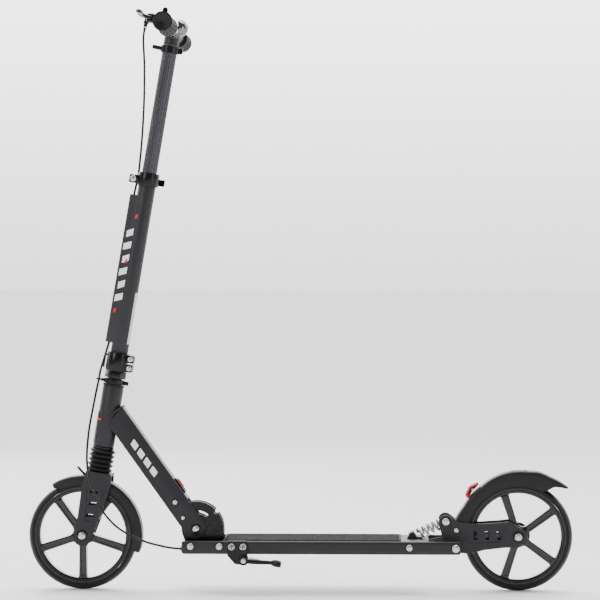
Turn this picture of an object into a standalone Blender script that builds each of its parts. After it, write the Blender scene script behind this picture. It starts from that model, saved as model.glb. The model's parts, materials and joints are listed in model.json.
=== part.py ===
"""Folding kick scooter with 200 mm wheels, built as an assembly.

Metres, +Z up, +X to the rear, -Y the rider's left. The origin is on the ground, midway between
the axles. Pieces of the neck and of the stem hang from empties on the fold and steering axes, and
round pieces stand on their own axis.
"""

import math

import bmesh
import bpy
from mathutils import Matrix, Vector

# ---------------------------------------------------------------- driving dimensions (metres)
GAP = 0.0003
WHEEL_R = 0.100
WHEELBASE = 0.800
TYRE_HALF_W = 0.015
RIM_R = 0.088
RIM_INNER_R = 0.079
HUB_R = 0.0175
AXLE_R = 0.004
FRONT_X = -WHEELBASE / 2
REAR_X = WHEELBASE / 2

STEERING_LEAN = math.radians(9.6)
STEERING_FOOT_X = -0.4073
HEAD_BOTTOM = 0.267
HEAD_TOP = 0.379
HEAD_R = 0.0193
STEERER_R = 0.0127
STEM_R = 0.016
STEM_BORE_R = 0.0142
STEM_BOTTOM = 0.410
STEM_TOP = 0.758
POST_R = 0.0137
BAR_T = 1.0396
BAR_HALF = 0.222
BAR_R = 0.0111
STEM_FIN_LOW = 0.4585
STEM_FIN_HIGH = 0.7340
CHANNEL_X = -0.0215
CLAMP_BOLT_X = 0.0235
GUIDE_EYE_X = -0.0285
QR_LOW = 0.7530
QR_HIGH = 0.7775
QR_X = -0.0262
QR_T = 0.7630
QR_CAM_Y = 0.0178
PERCH_Y = -0.0960
LEVER_PIVOT = Vector((-0.0330, -0.0930, BAR_T + 0.0130))
BELL_Y = -0.0520

FOLD_X = -0.1906
FOLD_Z = 0.112
FOLD = (FOLD_X, FOLD_Z)
TUBE_TILT = math.radians(-35.5)
TUBE_HALF_H = 0.020
TUBE_HALF_W = 0.019
TUBE_WALL = 0.0028
FOLD_ANGLE = math.radians(85)
SECTOR_R = 0.051
SECTOR_IN = 0.0115
SECTOR_OUT = 0.0155
STOP_PIN_R = 0.0317
STOP_PIN_ANGLE = math.radians(138.6)
LOCK_PIN_S = 0.0545
LOCK_TRAVEL = 0.006
NOTCH_HALF = 0.0036
GUIDE_BOLT = (-0.0026, 0.0625)

DECK_FRONT = -0.214
DECK_REAR = 0.294
DECK_HALF_W = 0.065
DECK_BOTTOM = 0.071
DECK_TOP = 0.095
RAIL_W = 0.0048
PLATFORM_FRONT = -0.139
PLATFORM_REAR = 0.236
DECK_SKIN = 0.0024
BRACKET_BOLT_X = (-0.1978, -0.1451)
BRACKET_BOLT_Z = 0.0850
KICK_PIVOT = Vector((-0.1000, -0.0760, 0.0610))

LEG_IN = 0.0210
LEG_OUT = 0.0260
ARM_PIVOT = (0.285, 0.0825)
SPRING_BOSS = (0.2676, 0.1274)
MUDGUARD_PIN = (0.2865, 0.1119)
BRAKE_STOP = (0.3795, 0.1065)
MUDGUARD_R = 0.110
MUDGUARD_SKIN = 0.003
MUDGUARD_HALF_W = 0.0203
CABLE_R = 0.0021
CABLE_DECK_Y = -0.0380
CABLE_DECK_Z = 0.0782


# ---------------------------------------------------------------- scene and materials
def clear_scene():
    for obj in list(bpy.data.objects):
        bpy.data.objects.remove(obj, do_unlink=True)


def new_collection(name, hidden=False):
    collection = bpy.data.collections.new(name)
    collection.hide_render = hidden
    bpy.context.scene.collection.children.link(collection)
    return collection


def material(name, colour, roughness, metallic=0.0):
    made = bpy.data.materials.new(name)
    made.use_nodes = True
    shader = made.node_tree.nodes["Principled BSDF"]
    shader.inputs["Base Color"].default_value = (*colour, 1.0)
    shader.inputs["Roughness"].default_value = roughness
    shader.inputs["Metallic"].default_value = metallic
    return made


clear_scene()
PARTS = new_collection("kick_scooter")
CUTTERS = new_collection("cutters", hidden=True)

PAINT = material("anthracite_paint", (0.034, 0.032, 0.038), 0.42)
GLOSS_BLACK = material("gloss_black_plastic", (0.010, 0.010, 0.011), 0.22)
BLACK = material("black_metal", (0.014, 0.014, 0.015), 0.38, 0.4)
RUBBER = material("black_rubber", (0.018, 0.018, 0.019), 0.75)
TYRE = material("polyurethane_tyre", (0.012, 0.012, 0.013), 0.35)
STEEL = material("zinc_steel", (0.62, 0.62, 0.62), 0.30, 1.0)
ALUMINIUM = material("anodised_tube", (0.10, 0.10, 0.11), 0.30, 0.9)
RED = material("red_plastic", (0.68, 0.028, 0.028), 0.35)
GRIP = material("grip_mat", (0.022, 0.022, 0.024), 0.85)


# ---------------------------------------------------------------- placing and joining
def empty(name, location, tilt=0.0, parent=None):
    made = bpy.data.objects.new(name, None)
    made.location = location
    made.rotation_euler = (0.0, tilt, 0.0)
    made.parent = parent
    PARTS.objects.link(made)
    return made


def add(name, data, mat=None, parent=None):
    """A new object in the parts, or, with no material, among the hidden tools."""
    made = bpy.data.objects.new(name, data)
    made.parent = parent
    (CUTTERS if mat is None else PARTS).objects.link(made)
    if mat is None:
        made.hide_render = True
        made.display_type = "WIRE"
    else:
        data.materials.append(mat)
    return made


def mesh_from(bm, name):
    bmesh.ops.recalc_face_normals(bm, faces=bm.faces)
    mesh = bpy.data.meshes.new(name)
    bm.to_mesh(mesh)
    bm.free()
    mesh.shade_smooth()
    mesh.set_sharp_from_angle(angle=math.radians(35))
    return mesh


def box(name, low, high, mat=None, parent=None):
    bm = bmesh.new()
    bmesh.ops.create_cube(bm, size=1.0)
    size = Vector(high) - Vector(low)
    centre = (Vector(high) + Vector(low)) / 2
    bmesh.ops.scale(bm, vec=size, verts=bm.verts)
    bmesh.ops.translate(bm, vec=centre, verts=bm.verts)
    return add(name, mesh_from(bm, name), mat, parent)


def along(start, end):
    """A matrix that takes a unit run up +Z from the origin to the run from start to end."""
    run = Vector(end) - Vector(start)
    turn = run.to_track_quat("Z", "Y").to_matrix().to_4x4()
    return Matrix.Translation(start) @ turn, run.length


def cylinder(name, start, end, radius, mat=None, parent=None, sides=24, end_radius=None):
    place, length = along(start, end)
    bm = bmesh.new()
    bmesh.ops.create_cone(
        bm,
        cap_ends=True,
        segments=sides,
        radius1=radius,
        radius2=radius if end_radius is None else end_radius,
        depth=length,
        matrix=place @ Matrix.Translation((0.0, 0.0, length / 2)),
    )
    return add(name, mesh_from(bm, name), mat, parent)


def as_mesh(curve_object, mat=None, parent=None):
    """The curve object as a mesh object with its caps welded, which can then be cut or joined."""
    bpy.context.view_layer.update()
    graph = bpy.context.evaluated_depsgraph_get()
    mesh = bpy.data.meshes.new_from_object(curve_object.evaluated_get(graph))
    bm = bmesh.new()
    bm.from_mesh(mesh)
    bm.transform(curve_object.matrix_basis)
    bmesh.ops.remove_doubles(bm, verts=bm.verts, dist=1e-6)
    name = curve_object.name
    bpy.data.meshes.remove(mesh)
    bpy.data.objects.remove(curve_object, do_unlink=True)
    return add(name, mesh_from(bm, name), mat, parent)


def plate(name, outlines, y_low, y_high, mat=None, parent=None):
    """A flat outline in X and Z, with any further outlines as holes, between two Y planes."""
    curve = bpy.data.curves.new(name, "CURVE")
    curve.dimensions = "2D"
    curve.fill_mode = "BOTH"
    curve.extrude = (y_high - y_low) / 2
    for outline in outlines:
        spline = curve.splines.new("POLY")
        spline.points.add(len(outline) - 1)
        for point, (x, z) in zip(spline.points, outline):
            point.co = (x, z, 0.0, 1.0)
        spline.use_cyclic_u = True
    flat = bpy.data.objects.new(name, curve)
    flat.location = (0.0, (y_low + y_high) / 2, 0.0)
    flat.rotation_euler = (math.pi / 2, 0.0, 0.0)
    PARTS.objects.link(flat)
    return as_mesh(flat, mat, parent)


def turned(name, profile, mat=None, parent=None, steps=24, ring=False):
    """A profile of (radius, height) turned about the parent's Z. It runs down its outer side."""
    mesh = bpy.data.meshes.new(name)
    count = len(profile)
    edges = [(i, i + 1) for i in range(count - 1)]
    if ring:
        edges.append((count - 1, 0))
    mesh.from_pydata([(r, 0.0, z) for r, z in profile], edges, [])
    made = add(name, mesh, mat, parent)
    screw = made.modifiers.new("turn", "SCREW")
    screw.steps = steps
    screw.render_steps = steps
    screw.use_merge_vertices = True
    screw.merge_threshold = 1e-5
    screw.use_smooth_shade = True
    return made


def turned_across(name, profile, centre, mat=None, parent=None, steps=24, ring=False):
    """A turned shape on an axis along Y: its profile's height is Y."""
    made = turned(name, profile, mat, parent, steps, ring)
    made.location = centre
    made.rotation_euler = (-math.pi / 2, 0.0, 0.0)
    return made


def wire(name, points, radius, mat, parent=None, resolution=2):
    curve = bpy.data.curves.new(name, "CURVE")
    curve.dimensions = "3D"
    curve.bevel_depth = radius
    curve.bevel_resolution = resolution
    curve.use_fill_caps = True
    spline = curve.splines.new("POLY")
    spline.points.add(len(points) - 1)
    for point, place in zip(spline.points, points):
        point.co = (*place, 1.0)
    return add(name, curve, mat, parent)


def boolean(base, tool, operation):
    modifier = base.modifiers.new(tool.name, "BOOLEAN")
    modifier.operation = operation
    modifier.solver = "EXACT"
    modifier.object = tool
    return base


def cut(base, *tools):
    for tool in tools:
        boolean(base, tool, "DIFFERENCE")
    return base


def join(base, *tools):
    for tool in tools:
        boolean(base, tool, "UNION")
    return base


def soften(obj, width, segments=2):
    bevel = obj.modifiers.new("edge", "BEVEL")
    bevel.width = width
    bevel.segments = segments
    bevel.limit_method = "ANGLE"
    bevel.angle_limit = math.radians(40)
    return obj


# ---------------------------------------------------------------- outlines and routes
def arc(centre, radius, start, end, steps):
    """Points on a circle in X and Z, from one angle to another, both included, in degrees."""
    angles = [math.radians(start + (end - start) * i / steps) for i in range(steps + 1)]
    return [(centre[0] + radius * math.cos(a), centre[1] + radius * math.sin(a)) for a in angles]


def slab(name, outline, low, high, mat=None, parent=None):
    """An outline in X and Y between two heights of the parent's Z."""
    bm = bmesh.new()
    low_ring = [bm.verts.new((x, y, low)) for x, y in outline]
    high_ring = [bm.verts.new((x, y, high)) for x, y in outline]
    bm.faces.new(low_ring)
    bm.faces.new(list(reversed(high_ring)))
    for i in range(len(outline)):
        j = (i + 1) % len(outline)
        bm.faces.new((low_ring[j], low_ring[i], high_ring[i], high_ring[j]))
    return add(name, mesh_from(bm, name), mat, parent)


def circle(centre, radius, sides=16):
    return arc(centre, radius, 0, 360 * (sides - 1) / sides, sides - 1)


def arc_slot(centre, radius, half_width, start, end, steps):
    """A slot that follows a circle, with round ends."""
    outer = arc(centre, radius + half_width, start, end, steps)
    inner = arc(centre, radius - half_width, end, start, steps)
    far = arc(centre, radius, end, end, 1)[0]
    near = arc(centre, radius, start, start, 1)[0]
    turn = 180 if end > start else -180
    far_end = arc(far, half_width, end, end + turn, 4)[1:-1]
    near_end = arc(near, half_width, start + turn, start + 2 * turn, 4)[1:-1]
    return outer + far_end + inner + near_end


def smooth_route(points, per_span):
    """Points on a Catmull-Rom curve through the given points."""
    known = [Vector(p) for p in points]
    known = [2 * known[0] - known[1]] + known + [2 * known[-1] - known[-2]]
    route = []
    for a, b, c, d in zip(known, known[1:], known[2:], known[3:]):
        for i in range(per_span):
            t = i / per_span
            bend = 2 * a - 5 * b + 4 * c - d
            twist = 3 * b - a - 3 * c + d
            route.append(0.5 * (2 * b + (c - a) * t + bend * t * t + twist * t ** 3))
    route.append(known[-2])
    return route


def coil(start, end, radius, turns, per_turn):
    """Points of a helix on the line from start to end."""
    place, length = along(start, end)
    count = int(turns * per_turn)
    points = []
    for i in range(count + 1):
        angle = 2 * math.pi * i / per_turn
        local = Vector((radius * math.cos(angle), radius * math.sin(angle), length * i / count))
        points.append(place @ local)
    return points


def through_bolt(name, centre, half_length, radius, head_r, head_h, parent=None, mat=STEEL):
    """A bolt across the scooter with a round head at each end."""
    outer = half_length + head_h
    profile = [
        (0.0, outer),
        (head_r * 0.88, outer),
        (head_r, half_length),
        (radius, half_length),
        (radius, -half_length),
        (head_r, -half_length),
        (head_r * 0.88, -outer),
        (0.0, -outer),
    ]
    return turned_across(name, profile, (centre[0], 0.0, centre[1]), mat, parent, steps=12)


# ---------------------------------------------------------------- joint frames
fold_axis = empty("fold_axis", (FOLD_X, 0.0, FOLD_Z), TUBE_TILT)
steering_axis = empty("steering_axis", (STEERING_FOOT_X, 0.0, 0.0), STEERING_LEAN)


# ---------------------------------------------------------------- deck
def build_deck():
    deck = box(
        "deck",
        (DECK_FRONT, -DECK_HALF_W, DECK_BOTTOM),
        (DECK_REAR, DECK_HALF_W, DECK_TOP),
        PAINT,
    )
    soften(deck, 0.004, 2)
    inside = DECK_HALF_W - RAIL_W
    far = 0.05
    floor = DECK_BOTTOM + DECK_SKIN
    front_pocket = box(
        "front_pocket", (DECK_FRONT - far, -inside, floor), (PLATFORM_FRONT, inside, DECK_TOP + far)
    )
    rear_pocket = box(
        "rear_pocket",
        (PLATFORM_REAR, -inside, DECK_BOTTOM - far),
        (DECK_REAR + far, inside, DECK_TOP + far),
    )
    chamber = box(
        "chamber",
        (DECK_FRONT, -inside, floor),
        (PLATFORM_REAR + far, inside, DECK_TOP - DECK_SKIN),
    )
    pivot_bore = cylinder(
        "pivot_bore",
        (ARM_PIVOT[0], -0.1, ARM_PIVOT[1]),
        (ARM_PIVOT[0], 0.1, ARM_PIVOT[1]),
        0.0042,
    )
    bracket_bores = [
        cylinder(f"bracket_bore_{i}", (x, -0.1, BRACKET_BOLT_Z), (x, 0.1, BRACKET_BOLT_Z), 0.0034, sides=16)
        for i, x in enumerate(BRACKET_BOLT_X)
    ]
    cut(deck, front_pocket, rear_pocket, chamber, pivot_bore, *bracket_bores)
    seat_outline = [
        (0.196, DECK_TOP - 0.001),
        (0.204, DECK_TOP - 0.001),
        (0.226, DECK_TOP - 0.001),
        (0.2245, DECK_TOP + 0.0035),
        (0.2150, DECK_TOP + 0.0040),
        (0.2085, DECK_TOP + 0.0135),
        (0.2020, DECK_TOP + 0.0110),
    ]
    join(deck, plate("spring_seat", [seat_outline], -0.016, 0.016))


def build_grip_mat():
    mat = box(
        "grip_mat",
        (PLATFORM_FRONT + 0.001, -0.0585, DECK_TOP + GAP),
        (0.186, 0.0585, DECK_TOP + 0.0024),
        GRIP,
    )
    soften(mat, 0.0008, 1)


def build_fold_bracket():
    low = DECK_BOTTOM + DECK_SKIN + GAP
    base = box(
        "fold_bracket",
        (DECK_FRONT + 0.002, -DECK_HALF_W + RAIL_W + GAP, low),
        (PLATFORM_FRONT - 0.003, DECK_HALF_W - RAIL_W - GAP, 0.0895),
        BLACK,
    )
    rim = arc(FOLD, SECTOR_R, 128, 0, 14)
    sector = [
        *rim,
        (FOLD_X + SECTOR_R, 0.088),
        (FOLD_X - 0.020, 0.088),
        (FOLD_X - 0.026, 0.104),
    ]
    stop = math.degrees(STOP_PIN_ANGLE)
    slot = arc_slot(FOLD, STOP_PIN_R, 0.0031, stop + 0.6, stop - 0.6 - math.degrees(FOLD_ANGLE), 8)
    bore = circle(FOLD, 0.0054, 20)
    sectors = []
    for side in (-1, 1):
        low_y, high_y = sorted((side * SECTOR_IN, side * SECTOR_OUT))
        sectors.append(plate(f"sector_{side}", [sector, slot, bore], low_y, high_y))
    tube_angle = 90 - math.degrees(TUBE_TILT)
    notches = []
    for i, angle in enumerate((tube_angle, tube_angle - math.degrees(FOLD_ANGLE))):
        seat = arc(FOLD, LOCK_PIN_S - LOCK_TRAVEL, angle, angle, 1)[0]
        floor = arc(seat, NOTCH_HALF, angle + 90, angle + 270, 6)
        run = Vector(seat) - Vector(FOLD)
        mouth = [tuple(Vector(p) + run * 0.2) for p in (floor[-1], floor[0])]
        notches.append(plate(f"notch_{i}", [floor + mouth], -0.03, 0.03))
    for sector_plate in sectors:
        cut(sector_plate, *notches)
    bores = [
        cylinder(f"base_bore_{i}", (x, -0.1, BRACKET_BOLT_Z), (x, 0.1, BRACKET_BOLT_Z), 0.0034, sides=16)
        for i, x in enumerate(BRACKET_BOLT_X)
    ]
    cable_ends = [(x, CABLE_DECK_Y, CABLE_DECK_Z) for x in (-0.25, -0.1)]
    bores.append(cylinder("cable_bore", *cable_ends, 0.0028, sides=12))
    relief = box("base_relief", (-0.1915, -0.0500, low - 0.01), (-0.1515, 0.0500, 0.0862))
    join(base, *sectors)
    cut(base, relief, *bores)
    for i, x in enumerate(BRACKET_BOLT_X):
        through_bolt(
            f"bracket_bolt_{('front', 'rear')[i]}", (x, BRACKET_BOLT_Z), DECK_HALF_W + GAP, 0.0030,
            0.0062, 0.0030,
        )
    through_bolt("fold_pivot_bolt", FOLD, TUBE_HALF_W + GAP, 0.0050, 0.0088, 0.0042)


# ---------------------------------------------------------------- neck: head tube and down tube
def build_neck():
    half = TUBE_HALF_H
    inner_w = TUBE_HALF_W - TUBE_WALL
    round_end = [
        (half * math.cos(angle), 0.003 - 0.0205 * math.sin(angle))
        for angle in (math.pi * i / 12 for i in range(13))
    ]
    side = [(half, 0.262), *round_end, (-half, 0.252)]
    neck = plate("neck_frame", [side], -TUBE_HALF_W, TUBE_HALF_W, PAINT, fold_axis)
    soften(neck, 0.0035, 2)
    hollow = box(
        "tube_hollow",
        (-half + TUBE_WALL, -inner_w, -0.05),
        (half - TUBE_WALL, inner_w, 0.225),
        parent=fold_axis,
    )
    clevis_gap = box(
        "clevis_gap", (-0.05, -inner_w - 1e-4, -0.05), (0.05, inner_w + 1e-4, 0.0545), parent=fold_axis
    )
    button_slot = box(
        "button_slot", (half - 0.01, -0.0045, 0.0725), (half + 0.01, 0.0045, 0.0925), parent=fold_axis
    )
    pivot_bore = cylinder(
        "neck_pivot_bore", (0, -0.05, 0), (0, 0.05, 0), 0.0054, parent=fold_axis, sides=20,
    )
    stop_x, stop_z = stop_pin_place()
    stop_bore = cylinder(
        "stop_bore", (stop_x, -0.05, stop_z), (stop_x, 0.05, stop_z), 0.0029, parent=fold_axis, sides=12
    )
    guide_bore = cylinder(
        "guide_bore",
        (GUIDE_BOLT[0], -0.05, GUIDE_BOLT[1]),
        (GUIDE_BOLT[0], 0.05, GUIDE_BOLT[1]),
        0.0029,
        parent=fold_axis,
        sides=12,
    )
    cut(neck, hollow, clevis_gap, button_slot, pivot_bore, stop_bore, guide_bore)
    head = turned(
        "head_tube",
        [
            (0.0, HEAD_TOP),
            (HEAD_R - 0.0008, HEAD_TOP),
            (HEAD_R, HEAD_TOP - 0.002),
            (HEAD_R, HEAD_BOTTOM + 0.002),
            (HEAD_R - 0.0008, HEAD_BOTTOM),
            (0.0, HEAD_BOTTOM),
        ],
        parent=steering_axis,
        steps=32,
    )
    bore = cylinder(
        "head_bore", (0, 0, HEAD_BOTTOM - 0.02), (0, 0, HEAD_TOP + 0.02), 0.0150,
        parent=steering_axis, sides=32,
    )
    join(neck, head)
    cut(neck, bore)


def stop_pin_place():
    """Where the stop pin stands in the down tube's own frame."""
    turn = STOP_PIN_ANGLE - (math.pi / 2 - TUBE_TILT)
    return -STOP_PIN_R * math.sin(turn), STOP_PIN_R * math.cos(turn)


def build_neck_fittings():
    turned(
        "lower_headset_cup",
        [
            (0.0200, HEAD_BOTTOM - GAP),
            (0.0205, HEAD_BOTTOM - 0.0015),
            (0.0200, HEAD_BOTTOM - 0.0040),
            (0.0131, HEAD_BOTTOM - 0.0040),
            (0.0131, HEAD_BOTTOM + 0.009),
            (0.0147, HEAD_BOTTOM + 0.009),
            (0.0147, HEAD_BOTTOM - GAP),
        ],
        BLACK,
        steering_axis,
        steps=22,
        ring=True,
    )
    turned(
        "upper_headset_cup",
        [
            (0.0200, HEAD_TOP + 0.0040),
            (0.0205, HEAD_TOP + 0.0020),
            (0.0200, HEAD_TOP + GAP),
            (0.0147, HEAD_TOP + GAP),
            (0.0147, HEAD_TOP - 0.009),
            (0.0131, HEAD_TOP - 0.009),
            (0.0131, HEAD_TOP + 0.0040),
        ],
        BLACK,
        steering_axis,
        steps=22,
        ring=True,
    )
    ring_low, ring_high = HEAD_TOP + 0.0045, HEAD_TOP + 0.0140
    guide = turned(
        "cable_guide",
        [
            (0.0, ring_high), (0.0185, ring_high), (0.0195, ring_high - 0.002), (0.0195, ring_low),
            (0.0, ring_low),
        ],
        BLACK,
        steering_axis,
        steps=28,
    )
    loop = wire(
        "guide_loop",
        [
            Vector(
                (-0.0285 + 0.0052 * math.cos(a), 0.0052 * math.sin(a) - 0.004, (ring_low + ring_high) / 2),
            )
            for a in (math.radians(200 + 30 * i) for i in range(11))
        ],
        0.0016,
        BLACK,
        steering_axis,
        resolution=1,
    )
    loop_mesh = as_mesh(loop, None, steering_axis)
    knob = cylinder(
        "guide_knob", (0.015, -0.004, ring_low + 0.004), (0.0265, -0.004, ring_low + 0.004), 0.0036,
        parent=steering_axis, sides=12,
    )
    web = box(
        "guide_web", (-0.0250, -0.0045, ring_low + 0.002), (-0.0160, 0.0025, ring_high - 0.002),
        parent=steering_axis,
    )
    bore = cylinder("guide_bore_steerer", (0, 0, 0.3), (0, 0, 0.45), 0.0132, parent=steering_axis, sides=28)
    join(guide, knob, web, loop_mesh)
    cut(guide, bore)

    housing_low, housing_high = TUBE_HALF_H + GAP, TUBE_HALF_H + 0.0040
    housing = box(
        "release_housing", (housing_low, -0.0125, 0.0655), (housing_high, 0.0125, 0.0985), BLACK,
        fold_axis,
    )
    soften(housing, 0.0014, 2)
    cut(housing, box("button_window", (0.01, -0.0078, 0.0690), (0.04, 0.0078, 0.0950), parent=fold_axis))
    stop_x, stop_z = stop_pin_place()
    cross_bolt("stop_pin", (stop_x, stop_z), 0.0025, 0.0038, 0.0022, fold_axis)
    cross_bolt("latch_guide_bolt", GUIDE_BOLT, 0.0025, 0.0056, 0.0030, fold_axis)


def cross_bolt(name, place, radius, head_r, head_h, parent):
    bolt = through_bolt(name, (0.0, 0.0), TUBE_HALF_W + GAP, radius, head_r, head_h, parent)
    bolt.location = (place[0], 0.0, place[1])


def build_latch():
    slide = [
        (-0.0060, LOCK_PIN_S - 0.0055),
        (0.0060, LOCK_PIN_S - 0.0055),
        (0.0060, 0.0940),
        (-0.0060, 0.0940),
    ]
    guide_x, guide_s = GUIDE_BOLT
    upper = guide_s + LOCK_TRAVEL + 0.0005
    slot_half = 0.0029
    slot = arc((guide_x, upper), slot_half, 0, 180, 6) + arc(
        (guide_x, guide_s - 0.0002), slot_half, 180, 360, 6,
    )
    latch = plate("lock_pin", [slide, slot], -0.0048, 0.0048, STEEL, fold_axis)
    pin = cylinder(
        "cross_pin", (0, -TUBE_HALF_W + TUBE_WALL + 0.0004, LOCK_PIN_S),
        (0, TUBE_HALF_W - TUBE_WALL - 0.0004, LOCK_PIN_S), 0.0028, parent=fold_axis, sides=16,
    )
    neck = box(
        "latch_neck", (0.005, -0.0035, 0.0795), (TUBE_HALF_H + 0.0012, 0.0035, 0.0905),
        parent=fold_axis,
    )
    join(latch, pin, neck)
    button = box(
        "release_button",
        (TUBE_HALF_H + 0.0015, -0.0070, 0.0762),
        (TUBE_HALF_H + 0.0066, 0.0070, 0.0942),
        RED,
        fold_axis,
    )
    soften(button, 0.0018, 2)


# ---------------------------------------------------------------- stem
def build_stem():
    turned(
        "steerer_tube",
        [
            (STEERER_R, 0.440),
            (STEERER_R, 0.4070),
            (0.0172, 0.4070),
            (0.0178, 0.4055),
            (0.0178, 0.3955),
            (0.0172, 0.3940),
            (STEERER_R, 0.3940),
            (STEERER_R, 0.2632),
            (0.0103, 0.2632),
            (0.0103, 0.440),
        ],
        STEEL,
        steering_axis,
        steps=22,
        ring=True,
    )
    stem = turned(
        "lower_stem",
        [(0.0, STEM_TOP), (STEM_R, STEM_TOP), (STEM_R, STEM_BOTTOM), (0.0, STEM_BOTTOM)],
        PAINT,
        steering_axis,
        steps=28,
    )
    fin_half = 0.0072
    section = [
        (-0.008, -0.0139), (-0.0135, -0.0120), (-0.0200, -fin_half), (-0.0265, -0.0048),
        (-0.0290, -0.0018),
    ]
    outline = section + [(x, -y) for x, y in reversed(section)]
    fin = slab("stem_fin", outline, STEM_FIN_LOW, STEM_FIN_HIGH, parent=steering_axis)
    bore = cylinder("stem_bore", (0, 0, 0.39), (0, 0, 0.78), STEM_BORE_R, parent=steering_axis, sides=24)
    channel = cylinder(
        "cable_channel", (CHANNEL_X, 0, 0.44), (CHANNEL_X, 0, 0.75), 0.0028, parent=steering_axis, sides=12
    )
    join(stem, fin)
    cut(stem, bore, channel)


def build_stem_clamp():
    low, high = 0.4078, 0.4420
    clamp = turned(
        "stem_clamp",
        [
            (0.0, high), (0.0200, high), (0.0208, high - 0.0015), (0.0208, low + 0.0015),
            (0.0200, low), (0.0, low),
        ],
        BLACK,
        steering_axis,
        steps=22,
    )
    lugs = box(
        "clamp_lugs", (0.010, -0.0155, low + 0.0012), (0.0300, 0.0155, high - 0.0012),
        parent=steering_axis,
    )
    soften(lugs, 0.003, 2)
    slit = box("clamp_slit", (0.0, -0.0015, low - 0.01), (0.05, 0.0015, high + 0.01), parent=steering_axis)
    middle = (low + high) / 2
    notch = box(
        "clamp_notch", (0.0185, -0.03, middle - 0.0014), (0.05, 0.03, middle + 0.0014),
        parent=steering_axis,
    )
    bore = cylinder("clamp_bore", (0, 0, 0.39), (0, 0, 0.46), STEM_R + GAP, parent=steering_axis, sides=22)
    join(clamp, lugs)
    cut(clamp, bore, slit, notch)
    for name, t in (("clamp_bolt_lower", 0.4165), ("clamp_bolt_upper", 0.4335)):
        hole = cylinder(
            f"{name}_bore", (CLAMP_BOLT_X, -0.03, t), (CLAMP_BOLT_X, 0.03, t), 0.0030,
            parent=steering_axis, sides=12,
        )
        cut(clamp, hole)
        bolt = through_bolt(name, (0.0, 0.0), 0.0155 + GAP, 0.0026, 0.0050, 0.0030, steering_axis)
        bolt.location = (CLAMP_BOLT_X, 0.0, t)


def build_quick_release():
    collar = turned(
        "qr_collar",
        [
            (0.0, QR_HIGH),
            (0.0190, QR_HIGH),
            (0.0198, QR_HIGH - 0.002),
            (0.0198, QR_LOW + 0.002),
            (0.0190, QR_LOW),
            (0.0, QR_LOW),
        ],
        BLACK,
        steering_axis,
        steps=22,
    )
    lugs = box(
        "qr_lugs", (-0.0345, -0.0115, QR_T - 0.0078), (-0.012, 0.0115, QR_T + 0.0078),
        parent=steering_axis,
    )
    soften(lugs, 0.0022, 2)
    slit = box(
        "qr_slit", (-0.05, -0.0030, QR_LOW - 0.01), (-0.005, 0.0030, QR_HIGH + 0.01),
        parent=steering_axis,
    )
    lower_bore = cylinder(
        "qr_bore", (0, 0, 0.73), (0, 0, STEM_TOP + GAP), STEM_R + GAP, parent=steering_axis,
        sides=22,
    )
    upper_bore = cylinder(
        "qr_upper_bore", (0, 0, 0.75), (0, 0, 0.79), POST_R + 0.0005, parent=steering_axis,
        sides=22,
    )
    skewer_bore = cylinder(
        "qr_skewer_bore", (QR_X, -0.03, QR_T), (QR_X, 0.03, QR_T), 0.0030, parent=steering_axis,
        sides=12,
    )
    join(collar, lugs)
    cut(collar, lower_bore, upper_bore, slit, skewer_bore)
    skewer_profile = [
        (0.0, 0.0121),
        (0.0026, 0.0121),
        (0.0026, -0.0118),
        (0.0058, -0.0118),
        (0.0058, -0.0150),
        (0.0044, -0.0166),
        (0.0, -0.0166),
    ]
    turned_across("qr_skewer", skewer_profile, (QR_X, 0.0, QR_T), STEEL, steering_axis, steps=18)
    blade = [
        *arc((QR_X, QR_CAM_Y), 0.0053, 75, 315, 10),
        (-0.0190, 0.0192),
        (-0.0110, 0.0196),
        (0.0000, 0.0210),
        (0.0120, 0.0200),
        (0.0220, 0.0165),
        (0.0290, 0.0120),
        (0.0305, 0.0145),
        (0.0235, 0.0205),
        (0.0120, 0.0242),
        (0.0000, 0.0252),
        (-0.0120, 0.0247),
    ]
    lever = slab("qr_lever", blade, QR_T - 0.0062, QR_T + 0.0062, BLACK, steering_axis)
    soften(lever, 0.0010, 1)


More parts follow.
